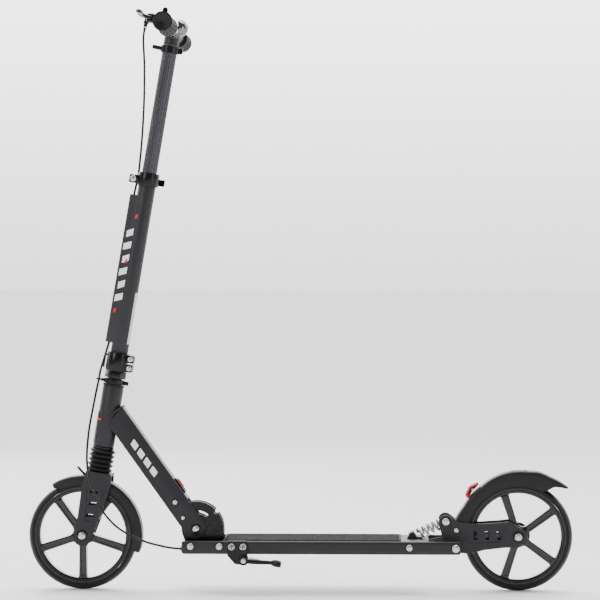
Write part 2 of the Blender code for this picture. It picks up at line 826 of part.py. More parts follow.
# ---------------------------------------------------------------- handlebar
def build_handlebar():
    post = turned(
        "handlebar",
        [(0.0, BAR_T), (POST_R, BAR_T), (POST_R, 0.622), (0.0, 0.622)],
        ALUMINIUM,
        steering_axis,
        steps=28,
    )
    tee = cylinder("tee", (0, -0.026, BAR_T), (0, 0.026, BAR_T), 0.0140, parent=steering_axis, sides=28)
    bar = cylinder(
        "bar", (0, -BAR_HALF, BAR_T), (0, BAR_HALF, BAR_T), BAR_R, parent=steering_axis, sides=24,
    )
    post_bore = cylinder(
        "post_bore", (0, 0, 0.60), (0, 0, BAR_T - 0.020), POST_R - 0.0018, parent=steering_axis,
        sides=20,
    )
    bar_bore = cylinder(
        "bar_bore", (0, -0.25, BAR_T), (0, 0.25, BAR_T), BAR_R - 0.0022, parent=steering_axis,
        sides=20,
    )
    join(post, tee, bar)
    cut(post, post_bore, bar_bore)
    for name, side in (("grip_left", -1), ("grip_right", 1)):
        inner, outer = 0.1120, BAR_HALF + 0.0042
        profile = [
            (0.0, outer),
            (0.0150, outer),
            (0.0172, outer - 0.0025),
            (0.0172, outer - 0.0070),
            (0.0158, outer - 0.0095),
            (0.0152, (inner + outer) / 2),
            (0.0158, inner + 0.0080),
            (0.0178, inner + 0.0050),
            (0.0178, inner),
            (BAR_R + GAP, inner),
            (BAR_R + GAP, BAR_HALF + GAP),
            (0.0, BAR_HALF + GAP),
        ]
        grip = turned(name, profile, RUBBER, steering_axis, steps=20)
        grip.location = (0.0, 0.0, BAR_T)
        grip.rotation_euler = (-side * math.pi / 2, 0.0, 0.0)
    collar_low, collar_high = 1.0010, 1.0140
    collar = turned(
        "parking_collar",
        [(0.0, collar_high), (0.0175, collar_high), (0.0175, collar_low), (0.0, collar_low)],
        BLACK,
        steering_axis,
        steps=24,
    )
    middle = (collar_low + collar_high) / 2
    hook = cylinder(
        "collar_hook", (-0.010, 0, middle), (-0.0330, 0, middle + 0.001), 0.0040,
        parent=steering_axis, sides=12,
    )
    wing_outline = [
        (0.012, middle - 0.0050),
        (0.0225, middle - 0.0055),
        (0.0245, middle),
        (0.0225, middle + 0.0055),
        (0.012, middle + 0.0050),
    ]
    wing = plate("collar_wing", [wing_outline], -0.0028, 0.0028, parent=steering_axis)
    bore = cylinder("collar_bore", (0, 0, 0.98), (0, 0, 1.03), POST_R + GAP, parent=steering_axis, sides=24)
    join(collar, hook, wing)
    cut(collar, bore)


def build_brake_lever():
    perch = turned(
        "brake_perch",
        [
            (0.0, 0.0080), (0.0160, 0.0080), (0.0165, 0.0070), (0.0165, -0.0070), (0.0160, -0.0080),
            (0.0, -0.0080),
        ],
        BLACK,
        steering_axis,
        steps=24,
    )
    perch.location = (0.0, PERCH_Y, BAR_T)
    perch.rotation_euler = (math.pi / 2, 0.0, 0.0)
    arm_z = LEVER_PIVOT.z
    horn = box(
        "perch_horn", (-0.0420, -0.1040, arm_z - 0.0092), (-0.004, -0.0790, arm_z + 0.0070),
        parent=steering_axis,
    )
    soften(horn, 0.003, 2)
    gate = box(
        "perch_gate", (-0.060, -0.1200, arm_z - 0.0043), (-0.0235, -0.0860, arm_z + 0.0030),
        parent=steering_axis,
    )
    barrel = cylinder(
        "cable_barrel", (-0.0420, -0.0840, arm_z - 0.0010), (-0.0440, -0.0820, arm_z - 0.0170), 0.0042,
        parent=steering_axis, sides=14, end_radius=0.0034,
    )
    pivot_pin = cylinder(
        "perch_pin", (LEVER_PIVOT.x, LEVER_PIVOT.y, arm_z - 0.0080), (
            LEVER_PIVOT.x, LEVER_PIVOT.y, arm_z + 0.0084,
        ),
        0.0017, parent=steering_axis, sides=12,
    )
    bar_bore = cylinder(
        "perch_bore", (0, -0.13, BAR_T), (0, -0.06, BAR_T), BAR_R + GAP, parent=steering_axis, sides=24
    )
    join(perch, horn, barrel)
    cut(perch, gate, bar_bore)
    join(perch, pivot_pin)
    blade_top, blade_low = arm_z + 0.0026, arm_z - 0.0039
    path = [
        (-0.0240, -0.0890),
        (-0.0350, -0.0875),
        (-0.0430, -0.0960),
        (-0.0520, -0.1150),
        (-0.0535, -0.1500),
        (-0.0500, -0.1850),
        (-0.0520, -0.2020),
        (-0.0480, -0.2085),
        (-0.0425, -0.2040),
        (-0.0405, -0.1850),
        (-0.0435, -0.1500),
        (-0.0415, -0.1200),
        (-0.0300, -0.1030),
        (-0.0255, -0.0985),
    ]
    lever = slab("brake_lever", path, blade_low, blade_top, STEEL, steering_axis)
    lever_hole = cylinder(
        "lever_pin_hole", (LEVER_PIVOT.x, LEVER_PIVOT.y, arm_z - 0.03), (
            LEVER_PIVOT.x, LEVER_PIVOT.y, arm_z + 0.03,
        ),
        0.0021, parent=steering_axis, sides=12,
    )
    cut(lever, lever_hole)
    soften(lever, 0.0012, 1)


def build_bell():
    base_t = BAR_T
    clip = turned(
        "bell",
        [(0.0, 0.0060), (0.0146, 0.0060), (0.0146, -0.0060), (0.0, -0.0060)],
        STEEL,
        steering_axis,
        steps=20,
    )
    clip.location = (0.0, BELL_Y, base_t)
    clip.rotation_euler = (math.pi / 2, 0.0, 0.0)
    dome = turned(
        "bell_dome",
        [
            (0.0, 0.0330),
            (0.0060, 0.0322),
            (0.0110, 0.0295),
            (0.0145, 0.0250),
            (0.0160, 0.0190),
            (0.0160, 0.0165),
            (0.0, 0.0165),
        ],
        parent=steering_axis,
        steps=24,
    )
    dome.location = (0.0, BELL_Y, base_t)
    dome.rotation_euler = (0.0, math.radians(70), 0.0)
    post = cylinder(
        "bell_post", (0.0, BELL_Y, base_t), (0.0190, BELL_Y, base_t + 0.0070), 0.0050,
        parent=steering_axis, sides=12,
    )
    ear = box(
        "bell_ear", (-0.0060, BELL_Y - 0.0058, base_t + 0.0125),
        (0.0020, BELL_Y + 0.0030, base_t + 0.0198), parent=steering_axis,
    )
    lever_pin = cylinder(
        "bell_pin", (-0.0020, BELL_Y - 0.0180, base_t + 0.0164),
        (-0.0020, BELL_Y - 0.0030, base_t + 0.0164), 0.0015,
        parent=steering_axis, sides=10,
    )
    bore = cylinder(
        "bell_bore", (0, BELL_Y - 0.02, base_t), (0, BELL_Y + 0.02, base_t), BAR_R + GAP,
        parent=steering_axis, sides=20,
    )
    join(clip, post, dome, ear, lever_pin)
    cut(clip, bore)
    thumb = [
        Vector((-0.0030, BELL_Y - 0.0125, base_t + 0.0180)),
        Vector((-0.0090, BELL_Y - 0.0125, base_t + 0.0250)),
        Vector((-0.0140, BELL_Y - 0.0125, base_t + 0.0320)),
    ]
    lever = as_mesh(wire("bell_lever", thumb, 0.0026, STEEL, steering_axis), STEEL, steering_axis)
    hub = cylinder(
        "bell_lever_hub", (-0.0020, BELL_Y - 0.0165, base_t + 0.0164),
        (-0.0020, BELL_Y - 0.0085, base_t + 0.0164), 0.0036,
        parent=steering_axis, sides=12,
    )
    pad = cylinder(
        "bell_lever_pad", (-0.0140, BELL_Y - 0.0180, base_t + 0.0330),
        (-0.0140, BELL_Y - 0.0100, base_t + 0.0330), 0.0050,
        parent=steering_axis, sides=14,
    )
    hub_bore = cylinder(
        "bell_hub_bore", (-0.0020, BELL_Y - 0.03, base_t + 0.0164),
        (-0.0020, BELL_Y, base_t + 0.0164), 0.0019,
        parent=steering_axis, sides=10,
    )
    join(lever, hub, pad)
    cut(lever, hub_bore)


# ---------------------------------------------------------------- front fork
def build_fork():
    leg = [
        (-0.3925, 0.2195),
        (-0.3460, 0.2115),
        (-0.3465, 0.1957),
        (-0.3560, 0.1623),
        (-0.3820, 0.0955),
        *arc((FRONT_X, 0.0975), 0.0165, -28, -152, 6),
        (-0.4145, 0.1010),
        (-0.4072, 0.1411),
        (-0.3996, 0.1957),
    ]
    axle_hole = circle((FRONT_X, WHEEL_R), AXLE_R + 0.0004, 16)
    legs = []
    for side in (-1, 1):
        low, high = sorted((side * LEG_IN, side * LEG_OUT))
        one = plate(
            "fork" if side < 0 else "fork_leg_far", [leg, axle_hole], low, high,
            PAINT if side < 0 else None,
        )
        recess_y = side * LEG_OUT
        y_low, y_high = sorted((recess_y - side * 0.0014, recess_y + side * 0.01))
        pocket = [
            (-0.3895, 0.1955), (-0.3565, 0.1945), (-0.3640, 0.1640), (-0.3790, 0.1240),
            (-0.3960, 0.1270), (-0.3935, 0.1500),
        ]
        cut(one, plate(f"leg_pocket_{side}", [pocket], y_low, y_high))
        for i, (x, z) in enumerate(((-0.3780, 0.1805), (-0.3810, 0.1585), (-0.3860, 0.1365))):
            slot = [
                (x - 0.0075, z - 0.0022), (x + 0.0075, z - 0.0030), (x + 0.0075, z + 0.0026),
                (x - 0.0075, z + 0.0034),
            ]
            cut(one, plate(f"leg_slot_{side}_{i}", [slot], *sorted((side * 0.01, side * 0.05))))
        legs.append(one)
    fork = legs[0]
    crown = box("fork_crown", (-0.0225, -LEG_OUT, 0.2118), (0.0245, LEG_OUT, 0.2190), parent=steering_axis)
    soften(crown, 0.002, 1)
    boss = cylinder("fork_boss", (0, 0, 0.2150), (0, 0, 0.2235), 0.0150, parent=steering_axis, sides=24)
    slider_bore = cylinder(
        "slider_bore", (0, 0, 0.2142), (0, 0, 0.24), 0.0100, parent=steering_axis, sides=20,
    )
    join(fork, legs[1], crown, boss)
    cut(fork, slider_bore)
    turned(
        "fork_slider",
        [(0.0, 0.3050), (0.0096, 0.3050), (0.0096, 0.2145), (0.0, 0.2145)],
        STEEL,
        steering_axis,
        steps=20,
    )
    wire(
        "front_spring",
        coil((0, 0, 0.3070), (0, 0, 0.4180), 0.0078, 8, 8),
        0.0014,
        STEEL,
        steering_axis,
        resolution=0,
    )
    through_bolt("front_axle", (FRONT_X, WHEEL_R), LEG_OUT + GAP, AXLE_R, 0.0095, 0.0045)


def build_bellows():
    low, high, ridges = 0.2196, 0.2625, 5
    pitch = (high - low) / ridges
    outer = []
    for i in range(ridges):
        top = high - i * pitch
        outer += [
            (0.0190, top),
            (0.0230, top - pitch * 0.32),
            (0.0230, top - pitch * 0.68),
        ]
    outer.append((0.0190, low))
    inner = [(0.0160, low), (0.0160, high)]
    turned("bellows", outer + inner, RUBBER, steering_axis, steps=22, ring=True)


def build_front_mudguard():
    outer = arc((FRONT_X, WHEEL_R), MUDGUARD_R, -17, 121, 30)
    inner = arc((FRONT_X, WHEEL_R), 0.0935, 117, -17, 28)
    guard = plate("front_mudguard", [outer + inner], -MUDGUARD_HALF_W, MUDGUARD_HALF_W, GLOSS_BLACK)
    room = cylinder(
        "front_wheel_room",
        (FRONT_X, -MUDGUARD_HALF_W + 0.0024, WHEEL_R),
        (FRONT_X, MUDGUARD_HALF_W - 0.0024, WHEEL_R),
        MUDGUARD_R - MUDGUARD_SKIN,
        sides=96,
    )
    cut(guard, room)


# ---------------------------------------------------------------- wheels
def build_wheel(prefix, centre_x, first_spoke):
    centre = (centre_x, 0.0, WHEEL_R)
    half = TYRE_HALF_W
    turned_across(
        f"{prefix}_tyre",
        [
            (WHEEL_R - 0.0065, half),
            (WHEEL_R - 0.0022, half * 0.72),
            (WHEEL_R, half * 0.25),
            (WHEEL_R, -half * 0.25),
            (WHEEL_R - 0.0022, -half * 0.72),
            (WHEEL_R - 0.0065, -half),
            (RIM_R + GAP, -half),
            (RIM_R + GAP, half),
        ],
        centre,
        TYRE,
        steps=48,
        ring=True,
    )
    rim = turned_across(
        f"{prefix}_rim",
        [
            (RIM_R, half * 0.86),
            (RIM_R, -half * 0.86),
            (RIM_INNER_R, -half * 0.86),
            (RIM_INNER_R, half * 0.86),
        ],
        centre,
        GLOSS_BLACK,
        steps=48,
        ring=True,
    )
    hub = cylinder(
        f"{prefix}_hub", (centre_x, -half, WHEEL_R), (centre_x, half, WHEEL_R), HUB_R, sides=24
    )
    spokes = []
    for i in range(5):
        angle = math.radians(first_spoke + 72 * i)
        out = Vector((math.cos(angle), 0.0, math.sin(angle)))
        side = Vector((-out.z, 0.0, out.x))
        hub_point = Vector(centre) + out * (HUB_R - 0.003)
        rim_point = Vector(centre) + out * (RIM_INNER_R + 0.003)
        corners = [
            hub_point - side * 0.0070,
            rim_point - side * 0.0082,
            rim_point + side * 0.0082,
            hub_point + side * 0.0070,
        ]
        outline = [(c.x, c.z) for c in corners]
        spokes.append(plate(f"{prefix}_spoke_{i}", [outline], -0.0100, 0.0100))
    join(rim, hub, *spokes)
    bearing_r = 0.0111
    bore = cylinder(
        f"{prefix}_hub_bore", (centre_x, -0.05, WHEEL_R), (centre_x, 0.05, WHEEL_R), 0.0075, sides=20
    )
    cut(rim, bore)
    for name, side in (("left", -1), ("right", 1)):
        seat_low, seat_high = sorted((side * (half - 0.0072), side * (half + 0.01)))
        cut(
            rim,
            cylinder(
                f"{prefix}_seat_{name}", (centre_x, seat_low, WHEEL_R),
                (centre_x, seat_high, WHEEL_R), bearing_r, sides=24,
            ),
        )
        low, high = sorted((side * (half - 0.0070), side * half))
        turned_across(
            f"{prefix}_bearing_{name}",
            [
                (bearing_r - GAP, high),
                (bearing_r - GAP, low),
                (AXLE_R + 0.0004, low),
                (AXLE_R + 0.0004, high),
            ],
            centre,
            STEEL,
            steps=18,
            ring=True,
        )


# ---------------------------------------------------------------- rear end
def build_swingarm():
    outline = [
        *arc(SPRING_BOSS, 0.0130, 190, 48, 6),
        (0.2865, 0.1295),
        (0.2945, 0.1268),
        (0.3287, 0.1240),
        (0.3653, 0.1262),
        (0.3850, 0.1285),
        (0.4129, 0.1104),
        (0.4171, 0.1067),
        (0.4147, 0.0930),
        (0.3985, 0.0805),
        (0.3745, 0.0805),
        (0.3379, 0.0760),
        (0.3104, 0.0695),
        *arc(ARM_PIVOT, 0.0135, 300, 200, 5),
        (0.2619, 0.0948),
    ]
    arms = []
    inner = LEG_IN
    outer = LEG_OUT - 0.0005
    holes = [
        circle(ARM_PIVOT, 0.0046, 16),
        circle(SPRING_BOSS, 0.0034, 14),
        circle(MUDGUARD_PIN, 0.0029, 14),
        circle((REAR_X, WHEEL_R), AXLE_R + 0.0004, 16),
    ]
    pocket = [(0.3177, 0.1165), (0.3772, 0.1165), (0.3690, 0.0915), (0.3125, 0.0870)]
    for side in (-1, 1):
        low, high = sorted((side * inner, side * outer))
        extra = [circle(BRAKE_STOP, 0.0052, 14)] if side > 0 else []
        arm = plate(
            "swingarm" if side < 0 else "swingarm_far", [outline, *holes, *extra], low, high,
            PAINT if side < 0 else None,
        )
        y_low, y_high = sorted((side * (outer - 0.0013), side * (outer + 0.01)))
        cut(arm, plate(f"arm_pocket_{side}", [pocket], y_low, y_high))
        for i, x in enumerate((0.3215, 0.3430, 0.3640)):
            slot = [(x - 0.0022, 0.0945), (x + 0.0045, 0.0950), (x + 0.0022, 0.1105), (x - 0.0045, 0.1100)]
            cut(arm, plate(f"arm_slot_{side}_{i}", [slot], *sorted((side * 0.01, side * 0.05))))
        arms.append(arm)
    swingarm = arms[0]
    tube = cylinder(
        "pivot_tube",
        (ARM_PIVOT[0], -DECK_HALF_W + RAIL_W + 0.001, ARM_PIVOT[1]),
        (ARM_PIVOT[0], DECK_HALF_W - RAIL_W - 0.001, ARM_PIVOT[1]),
        0.0088,
        sides=20,
    )
    bore = cylinder(
        "pivot_tube_bore", (ARM_PIVOT[0], -0.1, ARM_PIVOT[1]), (ARM_PIVOT[0], 0.1, ARM_PIVOT[1]),
        0.0046, sides=16,
    )
    bridge = box("arm_bridge", (0.2640, -inner - 0.001, 0.0900), (0.2700, inner + 0.001, 0.1060))
    join(swingarm, arms[1], tube, bridge)
    cut(swingarm, bore)
    through_bolt("swingarm_pivot_bolt", ARM_PIVOT, DECK_HALF_W + GAP, 0.0040, 0.0072, 0.0034)
    through_bolt("spring_bolt", SPRING_BOSS, outer + GAP, 0.0030, 0.0072, 0.0040)
    through_bolt("mudguard_bolt", MUDGUARD_PIN, outer + GAP, 0.0025, 0.0046, 0.0024)
    through_bolt("rear_axle", (REAR_X, WHEEL_R), outer + GAP, AXLE_R, 0.0095, 0.0045)


def build_rear_spring():
    start = Vector((0.2175, 0.0, 0.1040))
    boss = Vector((SPRING_BOSS[0], 0.0, SPRING_BOSS[1]))
    run = (boss - start).normalized()
    wire("rear_spring", coil(start, boss - run * 0.0105, 0.0098, 4.5, 10), 0.0021, STEEL, resolution=1)


def build_brake_housing():
    low, high = TYRE_HALF_W + 0.0008, LEG_IN - GAP
    housing = turned_across(
        "brake_housing",
        [(0.0, high), (0.0225, high), (0.0235, high - 0.001), (0.0235, low), (0.0, low)],
        (REAR_X, 0.0, WHEEL_R),
        BLACK,
        steps=32,
    )
    bore = cylinder("brake_bore", (REAR_X, 0, WHEEL_R), (REAR_X, 0.05, WHEEL_R), AXLE_R + 0.0004, sides=16)
    boss = cylinder(
        "brake_boss", (BRAKE_STOP[0], low + 0.001, BRAKE_STOP[1]),
        (BRAKE_STOP[0], 0.0345, BRAKE_STOP[1]), 0.0046, sides=14,
    )
    join(housing, boss)
    cut(housing, bore)


def build_rear_mudguard():
    wheel = (REAR_X, WHEEL_R)
    outline = [
        (0.2810, 0.1080),
        (0.2835, 0.1270),
        (0.3000, 0.1545),
        (0.3330, 0.1920),
        (0.3500, 0.2050),
        (0.3690, 0.2140),
        (0.3850, 0.2185),
        (0.4180, 0.2195),
        (0.4380, 0.2185),
        (0.4600, 0.2090),
        (0.4915, 0.1905),
        (0.4890, 0.1885),
        (0.4664, 0.1914),
        (0.4410, 0.1985),
        *arc(wheel, 0.0925, 62, 167, 22),
    ]
    guard = plate("rear_mudguard", [outline], -MUDGUARD_HALF_W, MUDGUARD_HALF_W, GLOSS_BLACK)
    room = cylinder(
        "rear_wheel_room",
        (REAR_X, -MUDGUARD_HALF_W + 0.0024, WHEEL_R),
        (REAR_X, MUDGUARD_HALF_W - 0.0024, WHEEL_R),
        MUDGUARD_R - MUDGUARD_SKIN,
        sides=96,
    )
    pin_bore = cylinder(
        "mudguard_bore", (MUDGUARD_PIN[0], -0.05, MUDGUARD_PIN[1]),
        (MUDGUARD_PIN[0], 0.05, MUDGUARD_PIN[1]), 0.0029, sides=14,
    )
    cut(guard, room, pin_bore)
    catch = [
        (0.3035, 0.1745), (0.3110, 0.1905), (0.3270, 0.1985), (0.3285, 0.1945), (0.3165, 0.1830),
        (0.3085, 0.1690),
    ]
    plate("mudguard_catch", [catch], -0.0120, 0.0120, RED)


# ---------------------------------------------------------------- kickstand
def build_kickstand():
    y_low, y_high = -DECK_HALF_W - 0.0048, -DECK_HALF_W - GAP
    outline = [
        (-0.1300, 0.0960),
        (-0.0945, 0.0960),
        (-0.0930, 0.0700),
        (-0.0905, 0.0600),
        (-0.0960, 0.0530),
        (-0.1060, 0.0525),
        (-0.1165, 0.0540),
        (-0.1300, 0.0690),
    ]
    bracket = plate("kickstand_bracket", [outline], y_low, y_high, BLACK)
    pin = cylinder(
        "kick_pin", (KICK_PIVOT.x, y_low + 0.001, KICK_PIVOT.z),
        (KICK_PIVOT.x, -0.0835, KICK_PIVOT.z), 0.0035, sides=14,
    )
    for i, x in enumerate((-0.1282 + 0.006, -0.1015)):
        head = turned_across(
            f"bracket_head_{i}",
            [
                (0.0, y_low + 0.001), (0.0060, y_low + 0.001), (0.0060, y_low - 0.0016),
                (0.0045, y_low - 0.0030), (0.0, y_low - 0.0030),
            ],
            (x, 0.0, 0.0848),
            steps=14,
        )
        join(bracket, head)
    join(bracket, pin)
    hub = cylinder(
        "kickstand", (KICK_PIVOT.x, y_low - 0.0008, KICK_PIVOT.z),
        (KICK_PIVOT.x, -0.0825, KICK_PIVOT.z), 0.0085,
        mat=BLACK, sides=18,
    )
    leg_points = [
        Vector((-0.0960, -0.0762, 0.0605)),
        Vector((-0.0840, -0.0768, 0.0585)),
        Vector((-0.0600, -0.0785, 0.0580)),
        Vector((-0.0400, -0.0800, 0.0585)),
    ]
    leg = as_mesh(wire("kick_leg", leg_points, 0.0042, BLACK, resolution=2))
    foot = box("kick_foot", (-0.0470, -0.0870, 0.0520), (-0.0310, -0.0740, 0.0625))
    soften(foot, 0.003, 2)
    pin_bore = cylinder(
        "kick_bore", (KICK_PIVOT.x, -0.1, KICK_PIVOT.z), (KICK_PIVOT.x, -0.06, KICK_PIVOT.z),
        0.0039, sides=14,
    )
    join(hub, leg, foot)
    cut(hub, pin_bore)


# ---------------------------------------------------------------- brake cable
def local(x, y, t):
    """A point given in the steering axis's own frame, in world coordinates."""
    place = Matrix.Translation((STEERING_FOOT_X, 0.0, 0.0)) @ Matrix.Rotation(STEERING_LEAN, 4, "Y")
    return place @ Vector((x, y, t))


def build_brake_cable():
    upper = [
        local(-0.0443, -0.0817, BAR_T - 0.0055),
        (-0.2819, -0.0700, 1.0050),
        (-0.2822, -0.0480, 0.9600),
        (-0.2850, -0.0260, 0.8950),
        (-0.2900, -0.0100, 0.8330),
        local(CHANNEL_X + 0.0012, -0.0012, 0.7900),
        local(CHANNEL_X + 0.0019, 0.0, 0.7650),
        local(CHANNEL_X + 0.0008, 0.0, 0.7450),
        local(CHANNEL_X, 0.0, 0.7300),
    ]
    wire("brake_cable_upper", smooth_route(upper, 3), CABLE_R, RUBBER)
    wire(
        "brake_cable_stem",
        [
            *(local(CHANNEL_X, 0.0, 0.7296 - 0.0444 * i) for i in range(6)),
            *smooth_route(
                [
                    local(CHANNEL_X, 0.0, 0.4700),
                    local(CHANNEL_X - 0.0006, -0.0004, 0.4560),
                    local(CHANNEL_X - 0.0045, -0.0020, 0.4250),
                    local(CHANNEL_X - 0.0070, -0.0040, 0.4030),
                    local(GUIDE_EYE_X, -0.0040, 0.3890),
                ],
                2,
            ),
        ],
        CABLE_R,
        RUBBER,
    )
    # The slack bows outwards, clear of the steered wheel and mudguard.
    lower = [
        local(GUIDE_EYE_X, -0.0040, 0.3886),
        local(GUIDE_EYE_X - 0.0008, -0.0060, 0.3700),
        (-0.3800, -0.0140, 0.3380),
        (-0.3868, -0.0260, 0.2945),
        (-0.3890, -0.0400, 0.2520),
        (-0.3850, -0.0580, 0.2200),
        (-0.3730, -0.0760, 0.1855),
        (-0.3540, -0.0920, 0.1510),
        (-0.3250, -0.0880, 0.1195),
        (-0.2840, -0.0660, 0.0955),
        (-0.2500, -0.0460, 0.0835),
        (-0.2300, -0.0390, 0.0792),
        (-0.2160, CABLE_DECK_Y, 0.0784),
    ]
    wire("brake_cable_neck", smooth_route(lower, 3), CABLE_R, RUBBER)
    rear = [
        (-0.2156, CABLE_DECK_Y, 0.0784),
        (-0.2000, CABLE_DECK_Y, CABLE_DECK_Z),
        (-0.1700, CABLE_DECK_Y, CABLE_DECK_Z),
        (-0.1400, CABLE_DECK_Y, CABLE_DECK_Z),
        (-0.1100, -0.0370, 0.0785),
        (-0.0500, -0.0250, 0.0810),
        (0.1000, 0.0200, 0.0825),
        (0.2100, 0.0380, 0.0830),
        (0.2650, 0.0400, 0.0920),
        (0.3100, 0.0360, 0.0990),
        (0.3500, 0.0318, 0.1050),
        (0.3743, 0.0310, 0.1062),
    ]
    wire("brake_cable_rear", smooth_route(rear, 3), CABLE_R, RUBBER)


build_deck()
build_grip_mat()
build_fold_bracket()
build_neck()
build_neck_fittings()
build_latch()
build_stem()
build_stem_clamp()
build_quick_release()
build_handlebar()
build_brake_lever()
build_bell()
build_fork()
build_bellows()
build_front_mudguard()
build_wheel("front", FRONT_X, 270)
build_wheel("rear", REAR_X, 180)
build_swingarm()
build_rear_spring()
build_brake_housing()
build_rear_mudguard()
build_kickstand()
build_brake_cable()
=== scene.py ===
"""Looks of the folding kick scooter: fine surfaces, materials, light and camera around the frame.

Metres, +Z up, +X to the rear, -Y to the rider's left. Heights along the steering axis ("t") are
measured from where that axis meets the ground. Sizes that end in _R are radii.
"""
import json
import math

import bmesh
import bpy
from mathutils import Matrix, Vector


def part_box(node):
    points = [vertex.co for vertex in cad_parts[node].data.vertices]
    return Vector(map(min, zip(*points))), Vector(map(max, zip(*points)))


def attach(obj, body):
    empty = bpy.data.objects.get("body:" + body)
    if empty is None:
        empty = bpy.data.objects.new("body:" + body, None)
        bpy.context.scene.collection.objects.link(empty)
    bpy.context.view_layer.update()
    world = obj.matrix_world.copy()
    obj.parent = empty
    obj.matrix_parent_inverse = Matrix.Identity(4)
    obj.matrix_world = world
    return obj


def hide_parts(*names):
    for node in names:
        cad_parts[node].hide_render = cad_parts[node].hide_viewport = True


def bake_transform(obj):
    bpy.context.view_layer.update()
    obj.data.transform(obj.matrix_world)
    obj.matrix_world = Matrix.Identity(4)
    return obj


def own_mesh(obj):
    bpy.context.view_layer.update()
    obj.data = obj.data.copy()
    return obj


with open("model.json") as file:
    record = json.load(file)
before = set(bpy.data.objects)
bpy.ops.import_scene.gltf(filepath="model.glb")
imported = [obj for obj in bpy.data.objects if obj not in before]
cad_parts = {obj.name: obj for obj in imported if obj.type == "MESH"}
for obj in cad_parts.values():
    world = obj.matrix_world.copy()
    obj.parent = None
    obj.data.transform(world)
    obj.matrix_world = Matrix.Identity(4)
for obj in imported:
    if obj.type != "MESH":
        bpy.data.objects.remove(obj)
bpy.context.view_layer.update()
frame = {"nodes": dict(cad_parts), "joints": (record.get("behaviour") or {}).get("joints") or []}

# ---------------- axes of the frame
JOINTS = {joint["name"]: joint for joint in frame["joints"]}


def tilted(origin, direction):
    """A matrix whose local Z is the direction, which lies in the XZ plane, and whose Y is world Y."""
    lean = math.atan2(direction[0], direction[2])
    return Matrix.Translation(origin) @ Matrix.Rotation(lean, 4, "Y")


def steering_frame():
    point, axis = Vector(JOINTS["steering"]["pos_m"]), Vector(JOINTS["steering"]["axis"])
    return tilted(point - axis * (point.z / axis.z), axis)


STEERING = steering_frame()
TUBE = tilted(JOINTS["fold"]["pos_m"], JOINTS["release_slide"]["axis"])
FRONT = Vector(JOINTS["front_spin"]["pos_m"])
REAR = Vector(JOINTS["rear_spin"]["pos_m"])
FOLD = Vector(JOINTS["fold"]["pos_m"])
UPRIGHT = Matrix.Rotation(math.pi / 2, 4, "X")

# ---------------- sizes shared by several pieces
CLEARANCE = 0.0003
HEAD_R = 0.0193
STEM_R = 0.016
STEM_BORE_R = 0.0146
STEM_LOW, STEM_HIGH = 0.410, 0.758
FIN_SECTION = [(-0.0080, 0.0139), (-0.0135, 0.0126), (-0.0205, 0.0086), (-0.0262, 0.0050),
               (-0.0288, 0.0020)]
FIN_LOW, FIN_HIGH = 0.4585, 0.7340
POST_R = 0.0137
POST_LOW = 0.6220
BAR_T = 1.0396
BAR_R = 0.0111
BAR_HALF = 0.222
BAR_SEAT_R = BAR_R + CLEARANCE
GRIP_START = 0.1120
PERCH_Y = -0.0960
LEVER_PIVOT = Vector((-0.0330, -0.0930, BAR_T + 0.0130))
BELL_Y = -0.0520
WHEEL_R = 0.100
TYRE_HALF_W = 0.015
SPOKES = 5
TUBE_HALF_H = 0.020
GUIDE_BOLT_HEAD = 0.0030
TUBE_HALF_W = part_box("latch_guide_bolt")[1].y - GUIDE_BOLT_HEAD - CLEARANCE
SECTOR_FACE = 0.0156
MUDGUARD_HALF_W = 0.0203
CABLE_R = 0.0021
CHANNEL_X = -0.0215
GUIDE_EYE_X, GUIDE_EYE_Y = -0.0285, -0.0040
CABLE_DECK_Y, CABLE_DECK_Z = -0.0380, 0.0782
SPRING_SEAT = Vector((0.2175, 0.0, 0.1040))
SPRING_BOSS = Vector((0.2676, 0.0, 0.1274))
KICK_PIVOT = Vector(JOINTS["kickstand_swing"]["pos_m"])

# ---------------- studio
LENS = 155.0
EYE = Vector((0.157, -4.75, 0.594))
LOOK_AT = Vector((0.0, 0.0, 0.533))
FLOOR_HALF = 60.0
FRONT_GLOW = 0.26
HORIZON_GLOW = 1.9
BACKDROP_GLOW = 4.4


# ---------------- placing
def on_stem(x, y, t):
    """A world point given in the steering axis's own frame."""
    return STEERING @ Vector((x, y, t))


def across(x, z, y=0.0, side=1):
    """A matrix whose local Z points to the right, or to the left if the side is -1."""
    return Matrix.Translation((x, y, z)) @ Matrix.Rotation(-side * math.pi / 2, 4, "X")


def leaning(point, degrees):
    """A matrix whose local Z leans from straight up towards +X."""
    return Matrix.Translation(point) @ Matrix.Rotation(math.radians(degrees), 4, "Y")


def aimed(origin, direction):
    """A matrix whose local Z runs along the direction."""
    return Matrix.Translation(origin) @ direction.to_track_quat("Z", "Y").to_matrix().to_4x4()


# ---------------- finishes
def srgb(red, green, blue):
    """A linear colour from 0 to 255 screen values."""
    return [((value / 255 + 0.055) / 1.055) ** 2.4 if value > 10 else value / 3294
            for value in (red, green, blue)]


def map_range(tree, value, *limits, smooth=False):
    """A Map Range node's result. The limits are the input's low and high, then the output's."""
    node = tree.nodes.new("ShaderNodeMapRange")
    node.interpolation_type = "SMOOTHSTEP" if smooth else "LINEAR"
    tree.links.new(value, node.inputs["Value"])
    for socket, number in zip(("From Min", "From Max", "To Min", "To Max"), limits):
        node.inputs[socket].default_value = number
    return node.outputs["Result"]


def arithmetic(tree, operation, first, second):
    """A Math node's result. The second value is a socket or a number."""
    node = tree.nodes.new("ShaderNodeMath")
    node.operation = operation
    tree.links.new(first, node.inputs[0])
    if isinstance(second, float):
        node.inputs[1].default_value = second
    else:
        tree.links.new(second, node.inputs[1])
    return node.outputs["Value"]


